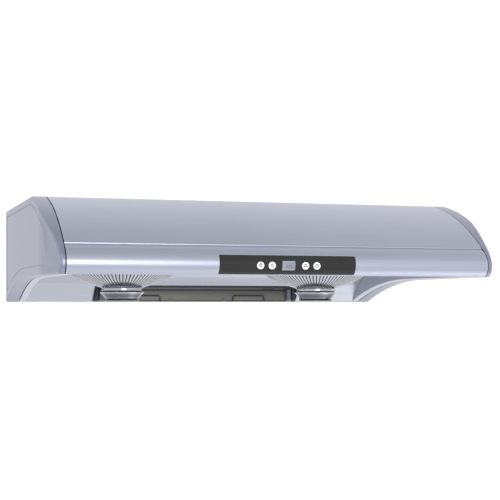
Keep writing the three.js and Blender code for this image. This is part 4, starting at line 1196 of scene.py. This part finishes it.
def oil_cup():
    """Funnel-shaped cup with a rolled rim, a round foot and three tabs inside."""
    foot = low("oil_cup_left").z / MM
    line = ((0, 0.5), (22, 0.5), (25, 0), (31, 0), (31.8, 0.4), (32, 1.2), (31.5, 2.2), (30.4, 2.7),
            (30.1, 3.4), (31.6, 6), (35, 10.4), (38.4, 13.8), (40, 15.5), (40.6, 16.2), (40.1, 16.6),
            (39.2, 16.3), (37, 14.2), (33.5, 10.8), (30, 6.4), (28.6, 3.8), (0, 3.7))
    bowl = turned(profile(*((r, foot + h) for r, h in line)), fan_left, Z, 128)
    low_corner, high_corner = mm(30, -3.5, foot + 3), mm(32.9, 3.5, 23.1)
    tabs = [turned_to(block(low_corner, high_corner, 0.4 * MM), 120 * k, "Z", fan_left) for k in range(3)]
    return joined(bowl, *tabs)


# ------------------------------------------------------------------ fans and duct


def impeller():
    """Squirrel cage wheel with two end rings, a dished web and forward-curved blades."""
    s = shape()
    z0, z1 = low("impeller_left").z / MM, high("impeller_left").z / MM
    web, inner, outer, hoop = low("motor_left").z - 5 * MM, 70.3, 84, 3.2
    hoops = [turned(profile((inner, z), (outer, z), (outer, z + hoop), (inner, z + hoop)), fan_left, Z, 96)
             for z in (z0, z1 - hoop)]
    dish = profile((4.4, -14), (12, -14), (12, -4), (20, -2.6), (82, -2.6), (82, 0), (18, 0), (4.4, 0))
    disc = turned(dish, fan_left + Z * web, Z, 96)
    outline = [(71 + 12 * t, 5.5 * math.sin(t * math.pi / 2) - 3) for t in (0, 0.25, 0.5, 0.75, 1)]
    line = outline + [(u, w - 0.9) for u, w in outline[::-1]]
    blade = slab([Vector(mm(u, w, z0 + 1)) + fan_left for u, w in line], mm(0, 0, z1 - z0 - 2))
    return joined(*hoops, disc, repeated(blade, fan_left, Z, s.blades))


def motor():
    """Motor can with cooling ribs round it and a bearing boss."""
    z0, z1 = low("motor_left").z / MM, high("motor_left").z / MM
    can, groove, bore, ribs, pitch = 46, 45, 4.6, 8, 3
    line = [(bore, z0), (14, z0), (15, z0 + 0.6), (16, z0 + 3), (38, z0 + 3), (42, z0 + 4), (45.4, z0 + 7)]
    for z in (z0 + 9 + pitch * k for k in range(ribs)):
        line += [(can, z), (can, z + 1.4), (groove, z + 1.6), (groove, z + 2.8)]
    line += [(45.6, z1), (34, z1), (34, z1 - 4), (bore, z1 - 4)]
    return turned(profile(*line), fan_left, Z, 72)


def duct_collar():
    """Short collar with a swaged bead and a rolled rim."""
    z0, z1 = low("duct_collar").z / MM, high("duct_collar").z / MM
    bead = [(77.2 + 0.7 * math.sin(math.pi * k / 6), z1 - 12 + k) for k in range(7)]
    rim = [(77.2, z1 - 0.4), (76.9, z1), (76.2, z1), (76, z1 - 0.4), (76, z0 + 1.4), (74, z0 + 1.2)]
    return turned(profile((74, z0), (77.2, z0), *bead, *rim), (0, middle("duct_collar").y, 0), Z, 128)


# ------------------------------------------------------------------ operators


class HOOD_OT_finishes(bpy.types.Operator):
    """Makes the procedural finishes"""

    bl_idname = "hood.finishes"
    bl_label = "Finishes"

    def execute(self, context):
        make_finishes()
        return {"FINISHED"}


class HOOD_OT_end_caps(bpy.types.Operator):
    """Builds the two moulded end caps"""

    bl_idname = "hood.end_caps"
    bl_label = "End caps"

    def execute(self, context):
        for name, sx in SIDES:
            node = "end_cap_" + name
            piece("cap_" + name, sided(end_cap, sx), "hood", "cap_paint", replaces=[node], crease=40)
        return {"FINISHED"}


class HOOD_OT_shell(bpy.types.Operator):
    """Builds the canopy, the flat top, the back panel and the fascia"""

    bl_idname = "hood.shell"
    bl_label = "Shell"

    def execute(self, context):
        piece("canopy", canopy(), "hood", "brushed_steel", replaces=["canopy_panel"], crease=40)
        piece("fascia", fascia(), "hood", "brushed_steel", replaces=["front_fascia"], crease=40)
        piece("flat_top", top_panel(), "hood", "brushed_steel", replaces=["top_panel"])
        piece("wall_panel", back_panel(), "hood", "galvanised", replaces=["back_panel"])
        return {"FINISHED"}


class HOOD_OT_controls(bpy.types.Operator):
    """Builds the control panel, its buttons with their marks, and the display"""

    bl_idname = "hood.controls"
    bl_label = "Controls"

    def execute(self, context):
        piece("panel_strip", control_panel(), "hood", "black_gloss", replaces=["control_panel"])
        for node in BUTTONS:
            piece(node + "_cap", push_button(node), node, "white_plastic", replaces=[node], crease=50)
            piece(node + "_mark", icon(node), node, "white_plastic", "icon_paint")
        lower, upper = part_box("display_window")
        pane = nose_strip(lower, upper, 0.2 * MM, 1.6 * MM)
        piece("display_pane", pane, "hood", "display_glass", replaces=["display_window"])
        piece("display_digits", digits(), "hood", "display_glass", "icon_paint")
        return {"FINISHED"}


class HOOD_OT_underside(bpy.types.Operator):
    """Builds the cove and the side liners of the underside"""

    bl_idname = "hood.underside"
    bl_label = "Underside"

    def execute(self, context):
        piece("cove", rear_cove(), "hood", "brushed_steel", "cove_steel", ["rear_cove"], 40)
        for name, sx in SIDES:
            liner = sided(side_liner, sx)
            piece("liner_" + name, liner, "hood", "brushed_steel", "side_steel", ["side_liner_" + name], 40)
        return {"FINISHED"}


class HOOD_OT_recess(bpy.types.Operator):
    """Builds the recess frame, the access cover, its handles and its screws"""

    bl_idname = "hood.recess"
    bl_label = "Recess"

    def execute(self, context):
        piece("recess_liner", recess_frame(), "hood", "dark_plastic", replaces=["recess_frame"])
        piece("cover_plate", cover_plate(), "hood", "tray_paint", replaces=["rear_access_cover"])
        piece("cover_step", cover_step(), "hood", "tray_paint")
        piece("cover_seal", cover_seal(), "hood", "dark_plastic")
        for name, sx in SIDES:
            piece("recess_pillar_" + name, recess_pillar(sx), "hood", "dark_plastic", "glossy_trim")
            node = "cover_handle_" + name
            piece("handle_" + name, cover_handle(node), "hood", "dark_plastic", replaces=[node], crease=60)
            node = "access_screw_" + name
            piece("screw_" + name, screw(node), "hood", "polished_steel", "glossy_trim", [node])
        return {"FINISHED"}


class HOOD_OT_lamps(bpy.types.Operator):
    """Builds the two recessed lamps"""

    bl_idname = "hood.lamps"
    bl_label = "Lamps"

    def execute(self, context):
        kinds = (("lamp_housing", lamp_ring, "aluminium"), ("lamp_lens", lamp_lens, "frosted_lens"))
        for name, sx in SIDES:
            for node, make, slot in kinds:
                replaced = [node + "_" + name]
                piece(node + "_piece_" + name, sided(make, sx), "hood", slot, replaces=replaced, crease=40)
        return {"FINISHED"}


class HOOD_OT_grilles(bpy.types.Operator):
    """Builds the conical grilles, their rings and the oil cups"""

    bl_idname = "hood.grilles"
    bl_label = "Grilles and cups"

    def execute(self, context):
        kinds = (
            ("cone_grille", cone_grille, "grille_", "grille_steel"),
            ("grille_ring", grille_ring, "grille_", "ring_steel"),
            ("oil_cup", oil_cup, "cup_", "cup_steel"),
        )
        for name, sx in SIDES:
            for node, make, body, finish in kinds:
                bm, replaced = sided(make, sx), [node + "_" + name]
                piece(node + "_fine_" + name, bm, body + name, "polished_steel", finish, replaced, 35)
        return {"FINISHED"}


class HOOD_OT_fans(bpy.types.Operator):
    """Builds the two fan wheels and their motors"""

    bl_idname = "hood.fans"
    bl_label = "Fans"

    def execute(self, context):
        for name, sx in SIDES:
            wheel, can = sided(impeller, sx), sided(motor, sx)
            node = "impeller_" + name
            piece("wheel_" + name, wheel, "fan_" + name, "galvanised", replaces=[node], crease=35)
            piece("motor_can_" + name, can, "hood", "aluminium", replaces=["motor_" + name], crease=35)
        return {"FINISHED"}


class HOOD_OT_duct(bpy.types.Operator):
    """Builds the duct collar"""

    bl_idname = "hood.duct"
    bl_label = "Duct"

    def execute(self, context):
        piece("collar", duct_collar(), "hood", "galvanised", replaces=["duct_collar"], crease=40)
        return {"FINISHED"}


class HOOD_OT_carried_over(bpy.types.Operator):
    """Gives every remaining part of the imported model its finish"""

    bl_idname = "hood.carried_over"
    bl_label = "Carried-over parts"

    def execute(self, context):
        for part in frame["record"]["subparts"]:
            # The ceiling takes the underside copy of the steel, whose brightness is painted light.
            clad(part["node"], "side_steel" if part["node"] == "ceiling_panel" else part["material_slot"])
        return {"FINISHED"}


FLOOR_HEIGHT, FLOOR_HALF = -2.6, 400
SKY_STRENGTH = 1.1
SKY = (  # height on the sky's sphere, brightness
    (-1.0, 0.7), (-0.3, 0.75), (-0.02, 0.95), (0.26, 0.97), (0.45, 1.06), (0.75, 0.98), (0.95, 0.7),
    (1.0, 0.66),
)
LAMPS = (  # name, place, aim, width and height, watts
    ("strip", (-0.25, -2.9, 0.1), (-0.3, -0.28, 0.055), (1.4, 1.6), 25),
    ("crown", (-1.9, -1.5, 1.5), (0, 0, 0.05), (0.9, 0.9), 6),
    ("pool", (1.9, 0.0, -1.5), (1.9, 0.01, FLOOR_HEIGHT), (1.1, 1.1), 22),
)
CAMERA_PLACE, CAMERA_TURN = (-0.658, -2.140, 0.0), (90, 0, -17.71)


def lay_floor():
    floor = bmesh.new()
    bmesh.ops.create_grid(floor, x_segments=1, y_segments=1, size=FLOOR_HALF)
    bmesh.ops.translate(floor, vec=(0, 0, FLOOR_HEIGHT), verts=floor.verts)
    ground = linked("floor", to_mesh(floor, "floor"))
    glow = {"Emission_Color": (1, 1, 1, 1), "Emission_Strength": 0.2}
    paint = Finish("floor_paint", finishes().floor, 0.0, 0.9, **glow)
    ground.data.materials.append(paint.material)


def light_sky(scene):
    """Soft studio light all round, by height."""
    scene.world = bpy.data.worlds.new("studio")
    scene.world.use_nodes = True
    sky = Graph(scene.world.node_tree)
    where = sky.node("ShaderNodeTexCoord")
    height = sky.split(sky.out(where, "Generated"))[2]
    level = sky.out(sky.node("ShaderNodeMapRange", None, {"Value": height, "From Min": -1}), "Result")
    background = sky.tree.nodes["Background"]
    colour_in = background.inputs["Color"]
    sky.tree.links.new(sky.ramp(level, [((z + 1) / 2, light) for z, light in SKY]).socket, colour_in)
    background.inputs["Strength"].default_value = SKY_STRENGTH


def hang_lamps():
    for name, place, aim, size, power in LAMPS:
        lamp = bpy.data.lights.new(name, "AREA")
        lamp.shape, lamp.energy = "RECTANGLE", power
        lamp.size, lamp.size_y = size
        made = linked(name, lamp)
        made.location = place
        made.rotation_euler = (Vector(aim) - Vector(place)).to_track_quat("-Z", "Y").to_euler()


def place_camera(scene):
    camera = bpy.data.cameras.new("camera")
    camera.lens, camera.sensor_width, camera.shift_y = 88.8, 36, 0.104
    camera.clip_start, camera.clip_end = 0.05, 1000
    view = linked("camera", camera)
    view.location = CAMERA_PLACE
    view.rotation_euler = [math.radians(a) for a in CAMERA_TURN]
    scene.camera = view
    scene.view_settings.view_transform = "Standard"
    scene.view_settings.look = "None"


class HOOD_OT_stage(bpy.types.Operator):
    """Sets the floor, the soft light and the camera"""

    bl_idname = "hood.stage"
    bl_label = "Stage"

    def execute(self, context):
        lay_floor()
        light_sky(context.scene)
        hang_lamps()
        place_camera(context.scene)
        return {"FINISHED"}


OPERATORS = (
    HOOD_OT_finishes, HOOD_OT_carried_over, HOOD_OT_end_caps, HOOD_OT_shell, HOOD_OT_controls,
    HOOD_OT_underside, HOOD_OT_recess, HOOD_OT_lamps, HOOD_OT_grilles, HOOD_OT_fans, HOOD_OT_duct,
    HOOD_OT_stage,
)


class HOOD_PT_builder(bpy.types.Panel):
    """Lists the hood's sizes, its colours and the steps that build it"""

    bl_label = "Range hood"
    bl_idname = "HOOD_PT_builder"
    bl_space_type = "VIEW_3D"
    bl_region_type = "UI"
    bl_category = "Hood"

    def draw(self, context):
        for group in (context.scene.hood_shape, context.scene.hood_finish):
            box = self.layout.box()
            for name in group.bl_rna.properties.keys():
                if name not in ("rna_type", "name"):
                    box.prop(group, name)
        for step in OPERATORS:
            self.layout.operator(step.bl_idname)


CLASSES = (HoodShape, HoodFinish, *OPERATORS, HOOD_PT_builder)


def register():
    for one in CLASSES:
        bpy.utils.register_class(one)
    bpy.types.Scene.hood_shape = bpy.props.PointerProperty(type=HoodShape)
    bpy.types.Scene.hood_finish = bpy.props.PointerProperty(type=HoodFinish)


def unregister():
    del bpy.types.Scene.hood_finish
    del bpy.types.Scene.hood_shape
    for one in reversed(CLASSES):
        bpy.utils.unregister_class(one)


def main():
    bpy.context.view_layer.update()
    register()
    for step in OPERATORS:
        group, name = step.bl_idname.split(".")
        getattr(getattr(bpy.ops, group), name)()


if __name__ == "__main__":
    main()
